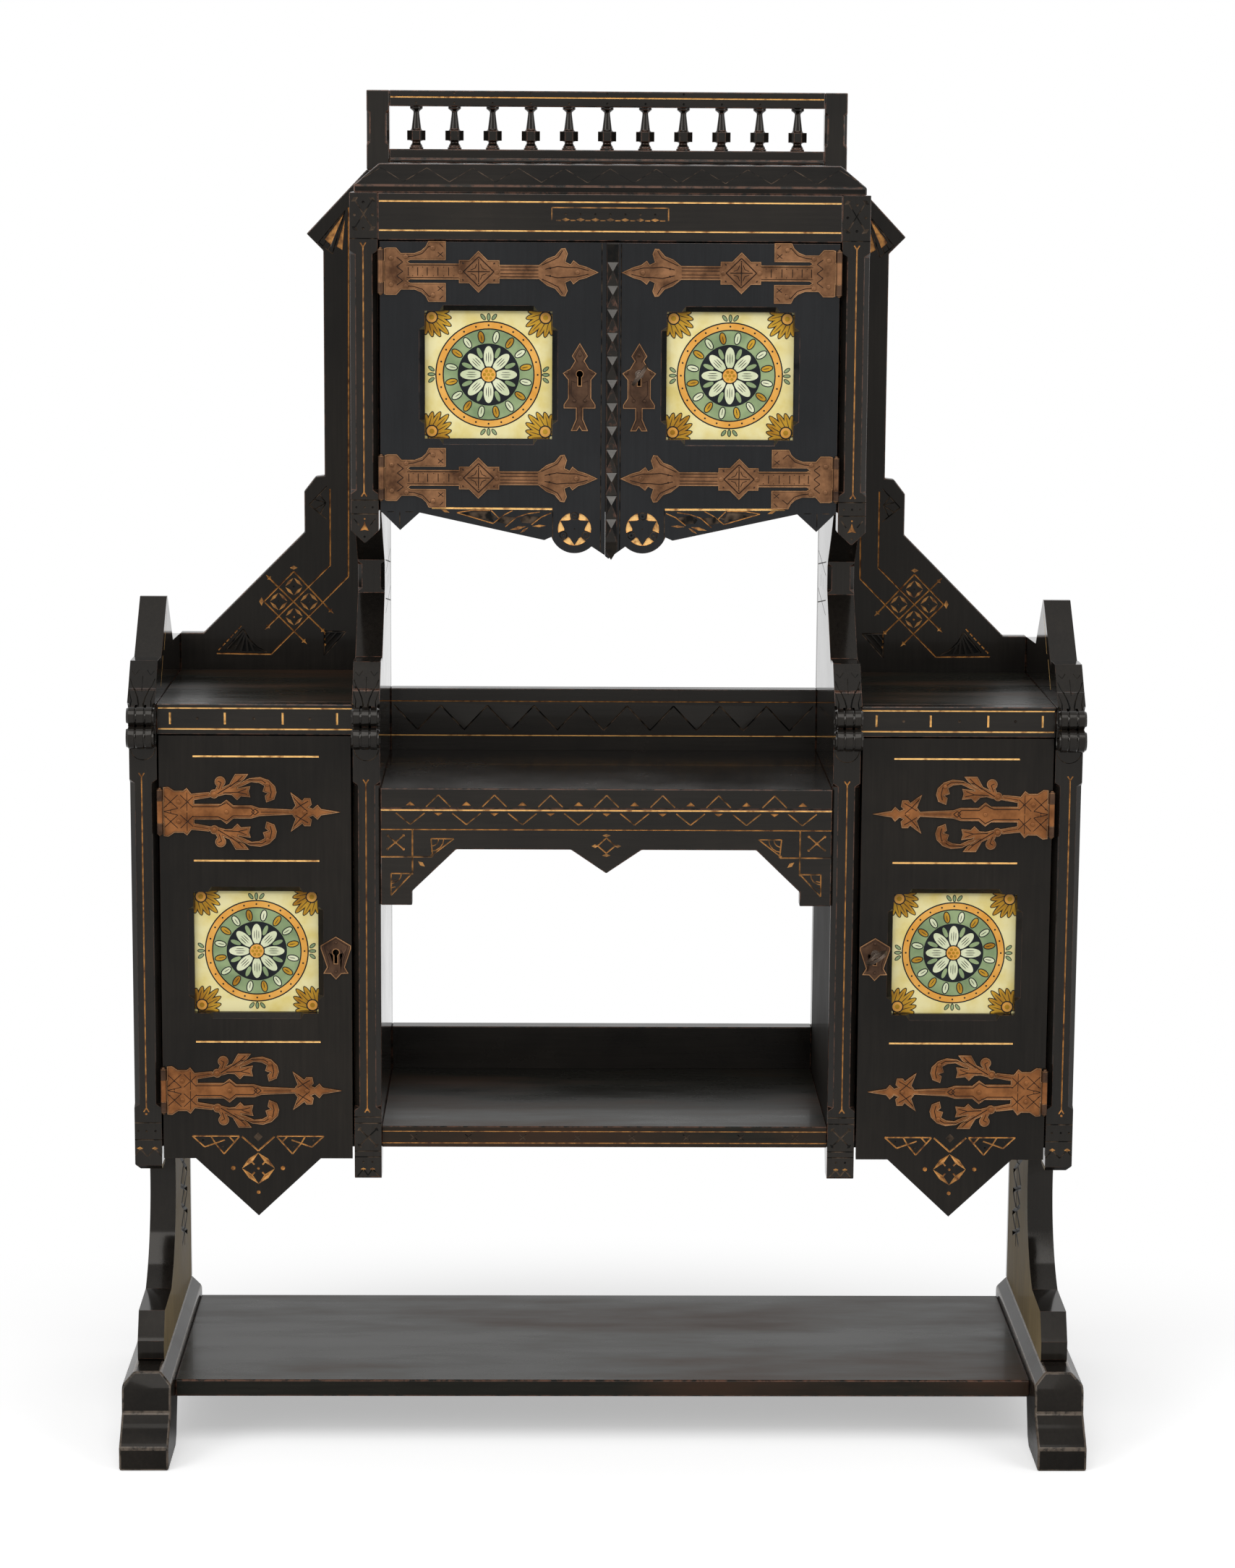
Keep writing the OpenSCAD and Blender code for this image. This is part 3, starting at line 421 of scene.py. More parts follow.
def carve_console(piece, middle, s):
    """flutes and leaf cuts of a console, and the cut arc below it"""
    beads = []
    for y, z, r in ((-18, 897, 12), (-21, 873, 14)):
        beads += [(s * (middle + x), y, z, r + 0.4, 1.5) for x in (-5.4, 5.4)]
        beads += [(s * (middle + x), y, z, r + 1.2, 3.4) for x in (-16.6, 16.6)]
    incise(piece, front(0, s), rings=beads, fill=ebony_upright)
    slope = (lambda a, b: Vector((s * (middle + a), -17 - TO_MIDDLE + (b - 908) * 45 / 49, b)) / 1000,
             Vector((0, -49, 45)).normalized())
    leaf = []
    for m in (-1, 1):
        leaf += path((m * 14.5, 938), (m * 11.6, 931), (m * 8, 926), (m * 4.4, 918), (m * 2.8, 912),
                     (m * 4.2, 904), (m * 9.5, 899), w=2.2)
        leaf += path((m * 13, 946), (m * 9, 942), (m * 5, 947), w=1.6)
        leaf += path((m * 15, 926), (m * 11.5, 915), (m * 12.4, 906), w=1.6)
    # The leaf cuts on the console's slope are filled with painted shade, near black.
    incise(piece, slope, leaf + path((0, 941), (0, 924), w=1.6), fill=painted_shade_cut)
    incise(piece, front(0, s), arc(middle, 857, 14.5, 185, 355, w=1.0, steps=12), fill=dull_cut)


leg_brown = ebonised("browned inner face of the leg", "Z", gloss=(0.55, 0.75), level=0.06,
                     tones=((0.150, 0.112, 0.056), (0.250, 0.195, 0.108)))
for s, side in ((-1, "left"), (1, "right")):
    board = dressed("outer_side_" + side, ebony_upright, edge=0.0016)
    incise(board, front(0, s),
           path((549.7, 418), (549.7, 824), w=1.4) + fishtail(549.7, 822, 1) + fishtail(549.7, 420, -1),
           dots=[(549.9, 412.7, 1.7)], fill=worn_gilt,
           chips=[(558, 370, 0, 4, 2.2, 1.2), (540, 370, 0, 4, 2.2, 1.2)])
    incise(board, front(0, s),
           path((531, 401.6), (564.5, 401.6), w=1.4) + path((531, 380.6), (564.5, 380.6), w=1.4)
           + path((564, 361), (558, 370), (549, 360), (540, 370), (532, 360), w=1.6),
           dots=[(539, 391.4, 1.7), (549.7, 391.4, 1.7), (559.6, 391.4, 1.7)], fill=dull_cut)
    carve_console(board, 547.75, s)
    incise(board, flank(s * 531.5, -s),
           path((60, 922), (88, 955), w=1.3) + path((102, 960), (140, 1003), w=1.3))
    incise(board, flank(s * 531.5, -s),
           fields=[([(-60, 20), (340, 20), (340, 350), (-60, 350)], 0.3)], fill=leg_brown)
    # The bold cut pattern on the brown inner face of the leg is filled with painted shade, near black.
    incise(board, flank(s * 531.5, -s),
           path((214, 302), (300, 262), (226, 236), (300, 206), (232, 182), w=7)
           + path((300, 302), (220, 262), (300, 236), (222, 206), (296, 180), w=7)
           + path((262, 318), (262, 172), w=5), fill=painted_shade_cut)

# Inner uprights. Full-height boards whose front edges form the lower posts, the carved consoles
# and the posts of the upper cupboard, with a cut cross on the block beside the frieze.
for s, side in ((-1, "left"), (1, "right")):
    board = dressed("inner_upright_" + side, ebony_upright, edge=0.0016)
    if side == "right":
        incise(board, flank(s * 268, -s), fields=[([(8, 393), (293, 393), (293, 783), (8, 783)], 0.2)],
               fill=ebonised("dull inner face", "Z", gloss=(0.6, 0.75), level=0.05))
    incise(board, front(0, s),
           path((285, 417), (285, 817), w=1.4) + fishtail(285, 815, 1) + fishtail(285, 420, -1),
           chips=[(279, 345, 0, 3.4, 1.8, 1.2), (290, 345, 0, 3.4, 1.8, 1.2)], fill=worn_gilt)
    incise(board, front(0, s),
           [((267.5, z), (301, z), 1.4) for z in (409.4, 401.6, 367.2, 360)]
           + path((294.5, 394.5), (274, 374), w=1.8) + path((274, 394.5), (294.5, 374), w=1.8)
           + path((271, 336), (279, 345), (284.4, 337), (290, 345), (297, 336), w=1.6),
           dots=[(279, 353.8, 1.6), (290, 353.8, 1.6)],
           chips=[(x, z, a, 3.8, 2, 1.2) for x, z, a in ((294.5, 394.5, -45), (274, 374, -45), (274, 394.5, 45),
                                                         (294.5, 374, 45))], fill=dull_cut)
    carve_console(board, 284.25, s)
    incise(board, front(-10, s),
           path((285, 1159), (285, 1446), w=1.4) + fishtail(285, 1444, 1) + fishtail(285, 1161, -1),
           dots=[(284.5, 1130, 1.3)], fill=worn_gilt,
           fields=[([(284.5, 1127.6), (282.9, 1122), (279.2, 1115.8), (284.5, 1117.2), (289.8, 1115.8),
                     (286.1, 1122)], 1.2)])
    incise(board, front(-10, s),
           [((267.5, z), (301, z), 1.3) for z in (1151.7, 1135.6, 1453.5)]
           + path((297, 1130), (290.5, 1122), w=1.5) + path((272, 1130), (278, 1122), w=1.5)
           + path((294.8, 1498.4), (273.5, 1464.6), w=1.5) + path((273.5, 1498.4), (294.8, 1464.6), w=1.5),
           dots=[(284.5, 1495, 2), (294.6, 1480.4, 2), (273.8, 1480.4, 2), (284.6, 1465, 2), (294, 1143.4, 1.5),
                 (284.5, 1143.4, 1.5), (275, 1143.4, 1.5), (284.5, 1109, 1.6)],
           chips=[(x, z, a, 5, 2.6, 1.6) for x, z, a in ((294.5, 1498, -32), (273.8, 1465, -32),
                                                       (273.8, 1498, 32), (294.5, 1465, 32))], fill=dull_cut)
    incise(board, flank(s * 268, -s),
           path((300, 1063), (170, 1046), w=1.5) + path((300, 1016), (165, 998), w=1.5)
           + path((300, 1046), (165, 1063), w=1.5) + path((300, 998), (165, 1016), w=1.5)
           + path((250, 1038), (250, 1024), w=1.5) + path((215, 1038), (215, 1024), w=1.5), fill=dull_cut)

# Tops and floors of the side cupboards, and the fascias under the tops, with two gilt lines and
# four upright strokes between them.
for s, side in ((-1, "left"), (1, "right")):
    dressed("side_top_" + side, ebony_shelf)
    dressed("cupboard_floor_" + side, ebony_level)
    board = dressed("fascia_" + side, ebony_level)
    incise(board, front(0, s),
           path((300, 904.6), (529, 904.6), w=1.4) + path((300, 879.8), (529, 879.8), w=1.6)
           + [((x, 899.4), (x, 885.4), 2.3) for x in (515.2, 450.7, 382.6, 318.6)])
    incise(board, front(0, s), dots=[(x, 892.3, 2) for x in (483, 416.6, 350.6)], fill=dull_cut)

# Back boards. They close the side cupboards and rise as shaped wings beside the upper cupboard,
# with double gilt lines, a lattice of four carved diamonds and small cut fans.
LATTICE = ((407.9, 995.4), (388.9, 1014.3), (369.9, 995.4), (388.9, 976.4))
for s, side in ((-1, "left"), (1, "right")):
    board = dressed("back_board_" + side, ebony_board)
    blades = []
    for x, z in LATTICE:
        blades += [(x + 5.6 * i, z + 5.6 * j, -45 * i * j, 7.6, 1.9, 1.6) for i in (-1, 1) for j in (-1, 1)]
    heads = [(429.5, 995.4, 90, 5.5, 3, 1.6), (388.9, 1038, 0, 5, 2.6, 1.4)]
    for x, z, slant in ((353, 959.4, 1), (377, 946, 1), (343.4, 984.5, 1), (419.6, 1024.8, 1),
                        (421.4, 963.9, -1)):
        heads += [(x, z, 45 * slant, 6.2, 1.6, 1.4), (x, z, 45 * slant + 90, 3.4, 1.8, 1.2)]
    incise(board, front(300, s),
           path((343, 1137), (343.2, 1041.3), (419.9, 965.4))
           + path((318, 1484), (320.6, 1027.3), (417.9, 928.9), (486, 929.6))
           + path((388.9, 1033.4), (426.4, 995.4)) + path((388.9, 1033.4), (344.7, 985.8))
           + path((418.5, 1023.7), (354.8, 961.1)) + path((426.4, 995.4), (378.4, 947.3))
           + [((455 + 5.1 * i, 964.5 - 5.4 * i), (458.4 + 5.1 * i, 960.8 - 5.4 * i), 1.6) for i in range(6)],
           dots=[(389.2, 976.4, 1.7)],
           chips=blades + heads + [(350.4, 955 - 7 * i, 60, 3.4, 1.8, 1.4) for i in range(3)],
           fields=[([(324, 1476), (347.5, 1445), (340, 1438)], 1.2),
                   ([(322.5, 1470), (333, 1436), (326, 1432)], 1.2)],
           fill=worn_gilt)
    back = (lambda a, b: Vector((s * a, 318 - TO_MIDDLE, b)) / 1000, Vector((0, 1, 0)))
    # Grooves and pits on the back face, filled with painted shade, near black.
    incise(board, back, [((x, 372), (x, 912), 3) for x in (356, 443)],
           [(x, z, 3.2) for x in (277, 524) for z in (400, 520, 640, 760, 880)], fill=painted_shade_cut)
    # The blades of the small fans are sunk fields filled with painted shade, near black.
    incise(board, front(300, s),
           fields=[(blade, 1.6) for blade in (
               [(452.2, 957), (472, 935.4), (466.2, 933.6)], [(451.2, 955), (463.2, 933.2), (457.4, 932.8)],
               [(450, 951.4), (454.6, 932.6), (449, 932.4)], [(447.6, 947.2), (446.2, 932.4), (440.8, 932.2)],
               [(442.2, 941.4), (438.4, 932.2), (429, 932.2)], [(350.2, 956.4), (345, 956.4), (350.4, 950.4)],
               [(343, 956.4), (337.4, 956.4), (350.4, 941.8), (350.4, 948)],
               [(335.4, 956.4), (329, 956.4), (350.4, 932), (350.4, 939.4)])], fill=painted_shade_cut)
    incise(board, front(300, s),
           path((452.5, 960.7), (475, 934), w=1.5)
           + path((452, 960), (444.5, 947.1), (435, 937.5), (423, 931.6), w=1.5)
           + path((351.2, 958.4), (324, 957.8), (351.4, 927.5), (351.2, 958.4), w=1.5)
           + path((347, 1140), (369, 1117), (347, 1099), w=1.4)
           + [((348, 1119.5), (x, z), 1.2) for x, z in ((362, 1123.5), (356, 1130), (362, 1111), (355, 1106))]
           + path((322, 1480), (355, 1441), (338, 1427), (322, 1480), w=1.3)
           + [((322, 1480), (349.5 - 5.7 * i, 1436.5 - 4.6 * i), 1.1) for i in range(3)],
           dots=[(407.9, 995.4, 1.4), (388.9, 1014.3, 1.4), (369.9, 995.4, 1.4), (462, 940, 1.3),
                 (446, 943, 1.3)], fill=dull_cut)

# Middle shelves with their back rails, and the shaped rail under the upper one. Cross grain
# marks, zigzags and square brackets are cut and gilded on the front edges.
shelf = dressed("lower_shelf", ebony_shelf)
crosses = [m * (32.8 + 65.6 * i) for m in (-1, 1) for i in range(4)]
incise(shelf, front(5),
       path((-268.5, 390.6), (268.5, 390.6), w=0.9) + path((-268.5, 376.3), (268.5, 376.3), w=1.0),
       fill=worn_gilt)
incise(shelf, front(5),
       [line for x in crosses for m in (1, -1) for line in path((x - 4 * m, 387), (x + 4 * m, 379.8), w=1.3)],
       [(x, 383.4, 1.6) for x in crosses], fill=dull_cut)
dressed("lower_back_rail", ebony_level)
PERIOD = 66.5
shelf = dressed("middle_shelf", ebony_level)
incise(shelf, front(4),
       [line for i in range(-3, 4) for line in path((PERIOD * i - 14.6, 787), (PERIOD * i, 801.5),
                                                    (PERIOD * i + 14.6, 787), w=1.5)], fill=faded_gilt)
incise(shelf, front(4), fields=[([(PERIOD * (i + 0.5) - 5.4, 788.6), (PERIOD * (i + 0.5) + 5.4, 788.6),
                                  (PERIOD * (i + 0.5), 793.4)], 1.2) for i in range(-4, 4)], fill=worn_gilt)
rail = dressed("shelf_apron", ebony_level)
incise(rail, front(4), path((-268.5, 783), (268.5, 783), w=1.7))
cuts = []
incise(rail, front(4), path((-268.5, 759.6), (268.5, 759.6), w=1.2), fill=worn_gilt,
       fields=[([(PERIOD * i - 5.4, 779.8), (PERIOD * i, 776), (PERIOD * i + 5.4, 779.8)], 1.2)
               for i in range(-3, 4)])
cuts += [line for i in range(-4, 4)
         for line in path((PERIOD * (i + 0.5) - 17, 779.6), (PERIOD * (i + 0.5), 765.8),
                          (PERIOD * (i + 0.5) + 17, 779.6), w=1.5)]
pits, cut_chips = [], []
for m in (-1, 1):
    cuts += path((m * 230.3, 760), (m * 230.3, 706.8)) + path((m * 268.5, 726.6), (m * 207, 726.6))
    cuts += path((m * 259.8, 752.4), (m * 240.8, 735.8), w=1.5)
    cuts += path((m * 240.8, 752.4), (m * 259.8, 735.8), w=1.5)
    cuts += path((m * 208.3, 748.6), (m * 181, 748.6), (m * 206.4, 729), (m * 208.3, 748.6), w=1.4)
    cuts += arc(m * 208, 748.6, 9, 270 if m < 0 else 180, 360 if m < 0 else 270, w=1.1, steps=4)
    cuts += arc(m * 208, 748.6, 15, 270 if m < 0 else 180, 360 if m < 0 else 270, w=1.1, steps=4)
    cuts += path((m * 255.6, 706.5), (m * 231, 706.5), (m * 255.7, 680), (m * 255.6, 706.5), w=1.5)
    cuts += arc(m * 255.5, 706.4, 12, 270 if m < 0 else 180, 360 if m < 0 else 270, w=1.3, steps=4)
    cuts += path((m * 255.5, 697), (m * 250, 698.5), w=1.1) + path((m * 255.5, 689), (m * 250.5, 690.5), w=1.1)
    pits += [(m * x, z, r) for x, z, r in (
        (259.8, 752.4, 1.9), (240.8, 752.4, 1.9), (259.8, 735.8, 1.9), (240.8, 735.8, 1.9),
        (250.3, 744.1, 2.4), (207, 728, 2.4), (231, 706.5, 2.4))]
    cut_chips += [(m * 219.6, 718, m * 38, 5.4, 2.4, 1.6), (m * 13.4, 740.2, 0, 4.4, 2.2, 1.4),
                  (0, 741 + m * 12, 0, 5.2, 2, 1.4)]
cuts += path((0, 750.2), (10.4, 740.6), (0, 731.6), (-10.4, 740.6), (0, 750.2), w=1.5)
incise(rail, front(4), cuts, pits, cut_chips, fill=faded_gilt)
rail = dressed("upper_back_rail", ebony_level)
incise(rail, front(296), path((-268.5, 871), (268.5, 871), w=1.3), fill=worn_gilt)
incise(rail, front(296), path((-268.5, 827.6), (268.5, 827.6), w=1.3))
incise(rail, front(296), path(*[(-263.7 + 29.3 * i, 834.5 if i % 2 else 865.6) for i in range(19)], w=1.8),
       fill=dull_cut)

# Upper cupboard: floor, back, frieze with a small cusped panel between gilt lines, and the
# cornice, whose sloping edge has a cut zigzag.
dressed("upper_floor", ebony_level)
board = dressed("upper_back", ebony_board)
low_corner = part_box("upper_back")[0]
high_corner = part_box("upper_back")[1]
rear = (lambda a, b: Vector((a / 1000, high_corner[1], b / 1000)), Vector((0, 1, 0)))
# Upright grooves on the back face, filled with painted shade, near black.
incise(board, rear, [((x, low_corner[2] * 1000 - 1), (x, high_corner[2] * 1000 + 1), 3)
                     for x in (-178, -89, 0, 89, 178)], fill=painted_shade_cut)
board = dressed("frieze", ebony_level)
incise(board, front(-10),
       path((-266.5, 1496.4), (266.5, 1496.4), w=1.6) + path((-266.5, 1463.2), (266.5, 1463.2), w=1.6))
incise(board, front(-10),
       path((-67.5, 1475.6), (-67.5, 1490.2), (67, 1490.2), (67, 1475.6), w=1.3)
       + [((17.2 * i - 11.6, 1475.6), (17.2 * i - 5.6, 1475.6), 1.3) for i in range(-3, 5)],
       chips=[(17.2 * i, 1476.4, 0, 5, 2, 1.5) for i in range(-3, 4)], fill=faded_gilt)
incise(board, front(-10), dots=[(17.2 * i, 1482.6, 1.6) for i in range(-3, 4)], fill=dull_cut)
board = dressed("cornice", ebony_slope, edge=0.0016)
RUN, RISE, SLOPE = 28, 24.5, 37.2
sloping = (lambda a, b: Vector((a, -10 - TO_MIDDLE + b * RUN / SLOPE, 1514.5 + b * RISE / SLOPE)) / 1000,
           Vector((0, -RISE, RUN)).normalized())
incise(board, sloping, path(*[(-265 + 26.5 * i, 6 if i % 2 else 30) for i in range(-1, 22)], w=1.1),
       fill=dull_cut)

# Gallery on the cornice: two rails between stiles, and eleven turned spindles with eight-sided
# drums, each held by a plug in the top rail.
rail = dressed("gallery_top_rail", ebony_level)
SPINDLE = 2 * (295.5 - 28) / 11.4
incise(rail, front(300), path((-266, 1618.2), (266, 1618.2), w=1.5))
incise(rail, front(300), dots=[(SPINDLE * i, 1611.4, 1.7) for i in range(-5, 6)]
       + [(SPINDLE * i, 1623.4, 1.7) for i in range(-4, 5, 2)], fill=dull_cut)
dressed("gallery_bottom_rail", ebony_level)
dressed("gallery_stiles", ebony_upright)
dressed("spindle_row", ebony_upright, edge=0.0005)

# Upper doors. Each hangs by its outer edge; a carved apron below the gilt line has pointed
# leaves, and the round lobe holds a six-pointed star of gilded fields with three ringed pits.
ebony_door = ebonised("ebonised door", "Z", gloss=(0.12, 0.24), tint=(0.95, 0.97, 1.0),
                      tones=((0.0045, 0.0050, 0.0058), (0.0105, 0.0110, 0.0120)))
for s, side in ((-1, "left"), (1, "right")):
    door = dressed("upper_door_" + side, ebony_door)
    if side == "left":
        for corner in door.data.vertices:
            if corner.co.x > -0.0075 and corner.co.y < -0.13:
                corner.co.x += 0.0014
    star = []
    for eye in (90, 210, 330):
        for m in (-1, 1):
            u, v = (cos(radians(eye)), sin(radians(eye))), (-m * sin(radians(eye)), m * cos(radians(eye)))
            star.append(([(39.7 + p * u[0] + q * v[0], 1119.3 + p * u[1] + q * v[1])
                          for p, q in ((9.6, 16.8), (13.7, 13.7), (16.8, 9.7), (18.6, 5.6), (14.4, 5.3),
                                       (11.2, 4.5), (10.1, 6.5))], 1.3))
    eyes = [(39.7 + 15 * cos(radians(eye)), 1119.3 + 15 * sin(radians(eye))) for eye in (90, 210, 330)]
    incise(door, front(-10, s), path((206, 1143), (65.7, 1142.4), w=2.2), fields=star)
    incise(door, front(-10, s),
           path((177, 1137.8), (160, 1140.6), (138, 1140.6), w=1.1)
           + path((177, 1137.8), (134.8, 1125.3), (122, 1135.3), (112, 1140.5), w=1.1)
           + path((137, 1140.5), (128, 1131.5), w=1.1)
           + path((120.5, 1121.4), (107.5, 1132.6), (95, 1136.8), (80, 1139), w=1.1)
           + path((90.1, 1123.8), (78.5, 1133), (67, 1138), w=1.1),
           chips=[(190.5, 1139.6, 20, 5.5, 1.7, 1.2), (105.5, 1120, -12, 10, 2, 1.4),
                  (98.4, 1117.6, -34, 6, 1.4, 1.2), (81, 1122.6, -3, 8.6, 1.5, 1.2)], fill=worn_gilt)
    meeting = 9.4 if side == "left" else 13
    incise(door, front(-10, s), path((meeting, 1449), (meeting, 1094), w=1.1),
           fields=[([(174, 1137), (150, 1139.4), (138, 1139.2), (134, 1127.4)], 0.9),
                   ([(118.5, 1124), (108.5, 1132.6), (124, 1134), (131, 1127.5)], 0.9),
                   ([(89, 1125.6), (79.5, 1133), (96, 1135.4), (104, 1130.4), (101, 1126)], 0.9)],
           fill=dull_cut)
    incise(door, front(-10, s),
           path((65.2, 1142), (65.2, 1101), w=1) + path((258, 1138.3), (250, 1138.3), w=1.2)
           + path((237, 1138.3), (228, 1138.3), w=1.2) + path((243.5, 1138.3), (243.5, 1122.5), w=1.2)
           + [((165 - 8 * i, 1137.6 - 1.6 * i), (160 - 8 * i, 1134 - 1.9 * i), 1.6) for i in range(4)]
           + [line for x, z in eyes for line in arc(x, z, 4.2, 0, 360, w=1.2, steps=12)],
           dots=[(39.7, 1119.3, 1.1)] + [(x, z, 1.6) for x, z in eyes],
           chips=[(152 - 9 * i, 1134 - 0.6 * i, -14, 6, 2.2, 1.4) for i in range(3)], fill=dull_cut)

# Lower doors. Plain but for three gilt lines and the carving on the pendant: a four-bladed star
# with gilded pits round it, and cut fans to both sides.
MID = 416.1
for s, side in ((-1, "left"), (1, "right")):
    door = dressed("lower_door_" + side, ebony_board)
    incise(door, front(0, s), [((340.4, z), (489.2, z), 2.1) for z in (847.2, 721.9, 501.6)])
    cuts = []
    for m in (-1, 1):
        for w, points in ((1.6, ((22.4, 385.5), (78.8, 385.5), (64.3, 372.1), (40, 380.8))),
                          (1.6, ((56.3, 385.1), (51.2, 376.2), (41, 363.6), (22.6, 384.8))),
                          (1.6, ((34.7, 385), (27.8, 377.2))), (2, ((19.6, 385), (0, 367.4))),
                          (1.8, ((8.8, 354.4), (4.6, 350.2))), (1.8, ((8, 337), (4.6, 341)))):
            cuts += path(*[(MID + m * x, z) for x, z in points], w=w)
    blades = [(MID + 9.7 * i, 345.6 + 9.7 * j, -44 * i * j, 14.4, 3.1, 2.2) for i in (-1, 1) for j in (-1, 1)]
    incise(door, front(0, s), cuts,
           dots=[(MID + 30.2, 346, 3.2), (MID - 29.4, 346, 3.2), (MID, 316.1, 2.8), (MID, 345.6, 2)],
           chips=blades, fill=worn_gilt)
    incise(door, front(0, s), dots=[(MID + m * 66, 380.4, 1.5) for m in (-1, 1)]
           + [(MID + m * 42.4, 372.6, 1.5) for m in (-1, 1)],
           chips=[(MID, 384.6, 0, 5.6, 5.6, 1.8)], fill=dull_cut)

# Strip of pointed nailheads on the meeting edge of the upper doors, cut from one batten. The facets that look
# up are painted a lighter grey, a painted highlight of the light from above; those that look down carry brown
# wear, and the rest are near black, painted shade.
# A lighter grey for the facets that look up: a painted highlight.
painted_highlight_facets = ebonised("facets with painted highlight", "X", gloss=(0.3, 0.45), tones=((0.045, 0.043, 0.040), (0.115, 0.112, 0.106)))
browned = ebonised("browned facets", "X", wear=0.5, gloss=(0.3, 0.45))
strip = dressed("astragal", painted_shade_cut, edge=0.0004)
strip.data.materials.append(painted_highlight_facets)
strip.data.materials.append(browned)
for corner in strip.data.vertices:
    if corner.co.y < -0.1435:
        corner.co.x = 0.0031 + 0.16 * (corner.co.x - 0.0031)
        corner.co.z -= 0.0075
strip.data.update()
# Facets that look up take the painted highlight, facets that look down the brown wear.
for face in strip.data.polygons:
    if face.normal.z > 0.25 and face.normal.y < -0.1:
        face.material_index = 2
    elif face.normal.z < -0.15 and face.normal.y < -0.1:
        face.material_index = 3


# Strap hinges with their leaves and pins, cast in a copper alloy and patinated brown. Each plate has a raised
# rim, cut lines and slotted screws. The rims and arrises are rubbed bright and also carry a painted highlight;
# the walls of the rims, the plates' edges and the cuts hold dark dirt that is also painted shade.
def coppered(name, dark, light, metal, low, high):
    """brown copper alloy, mottled by its patina and worn brighter where it is touched"""
    made, nodes, link, shader = surface(name)
    plain = placed(nodes, link)
    mottle = noise(nodes, link, plain, 38, 7, 0.65)
    link(ramp(nodes, link, mottle, 0.33, 0.66, dark, light), shader.inputs["Base Color"])
    link(spread(nodes, link, mottle, (0.3, 0.7), (low, high)), shader.inputs["Roughness"])
    shader.inputs["Metallic"].default_value = metal
    shader.inputs["Specular IOR Level"].default_value = 0.2
    dented(nodes, link, noise(nodes, link, plain, 210, 3), 0.25, 0.0003, shader.inputs["Normal"])
    return made


copper = coppered("brown copper", (0.070, 0.030, 0.013), (0.290, 0.140, 0.064), 0.4, 0.36, 0.58)
copper_bright = coppered("orange copper", (0.130, 0.045, 0.013), (0.330, 0.130, 0.042), 0.4, 0.36, 0.58)
copper_dark = coppered("dark copper", (0.030, 0.015, 0.009), (0.105, 0.056, 0.032), 0.5, 0.36, 0.58)
# The rubbed copper is partly wear and partly a painted highlight on rims and arrises; the dirt is partly real
# dirt in the cuts and partly painted shade on walls and edges.
copper_rubbed_and_highlight = coppered("copper rubbed bright, painted highlight", (0.16, 0.072, 0.030), (0.44, 0.235, 0.110), 0.55, 0.28, 0.45)
copper_dirt_and_shade = coppered("dirt and painted shade in the copper", (0.014, 0.007, 0.004), (0.035, 0.016, 0.009), 0.1, 0.6, 0.8)


def plated(node, front_y, rim, sunk, finish=copper, worn=copper_rubbed_and_highlight):
    """a metal plate in its node's shape, its field sunk inside a raised rim, and its screw heads"""
    piece = dressed(node, finish, worn, 0)
    piece.data.materials.append(copper_dirt_and_shade)
    bpy.ops.object.mode_set(mode="EDIT")
    bpy.ops.mesh.select_mode(type="FACE")
    bpy.ops.mesh.select_all(action="DESELECT")
    bpy.ops.object.mode_set(mode="OBJECT")
    # Front faces, later the rim and the screw heads, take the rubbed copper, wear and painted highlight; sides
    # behind the front take the dirt, dirt and painted shade.
    for face in piece.data.polygons:
        face.select = face.normal.y < -0.99 and abs(face.center.y * 1000 + TO_MIDDLE - front_y) < 0.1
        if face.select:
            face.material_index = 1
        elif face.center.y * 1000 + TO_MIDDLE < front_y - 0.05 and abs(face.normal.y) < 0.5:
            face.material_index = 2
    bpy.ops.object.mode_set(mode="EDIT")
    bpy.ops.mesh.inset(thickness=(rim - 0.4) / 1000, depth=0)
    # The step walls inside the rim take the dirt as painted shade; the sunk field takes the plain finish.
    for layer, in_by, down in ((2, 0.4, sunk), (0, 0, 0)):
        piece.active_material_index = layer
        bpy.ops.object.material_slot_assign()
        if in_by:
            bpy.ops.mesh.inset(thickness=in_by / 1000, depth=-down / 1000)
    bpy.ops.object.mode_set(mode="OBJECT")
    # The bevelled arrises take the rubbed copper, a painted highlight along the edges.
    bpy.ops.object.modifier_add(type="BEVEL")
    soften = piece.modifiers[-1]
    soften.width = 0.00045
    soften.segments = 1
    soften.angle_limit = radians(35)
    soften.material = 1
    bpy.ops.object.modifier_apply(modifier=soften.name)
    return piece


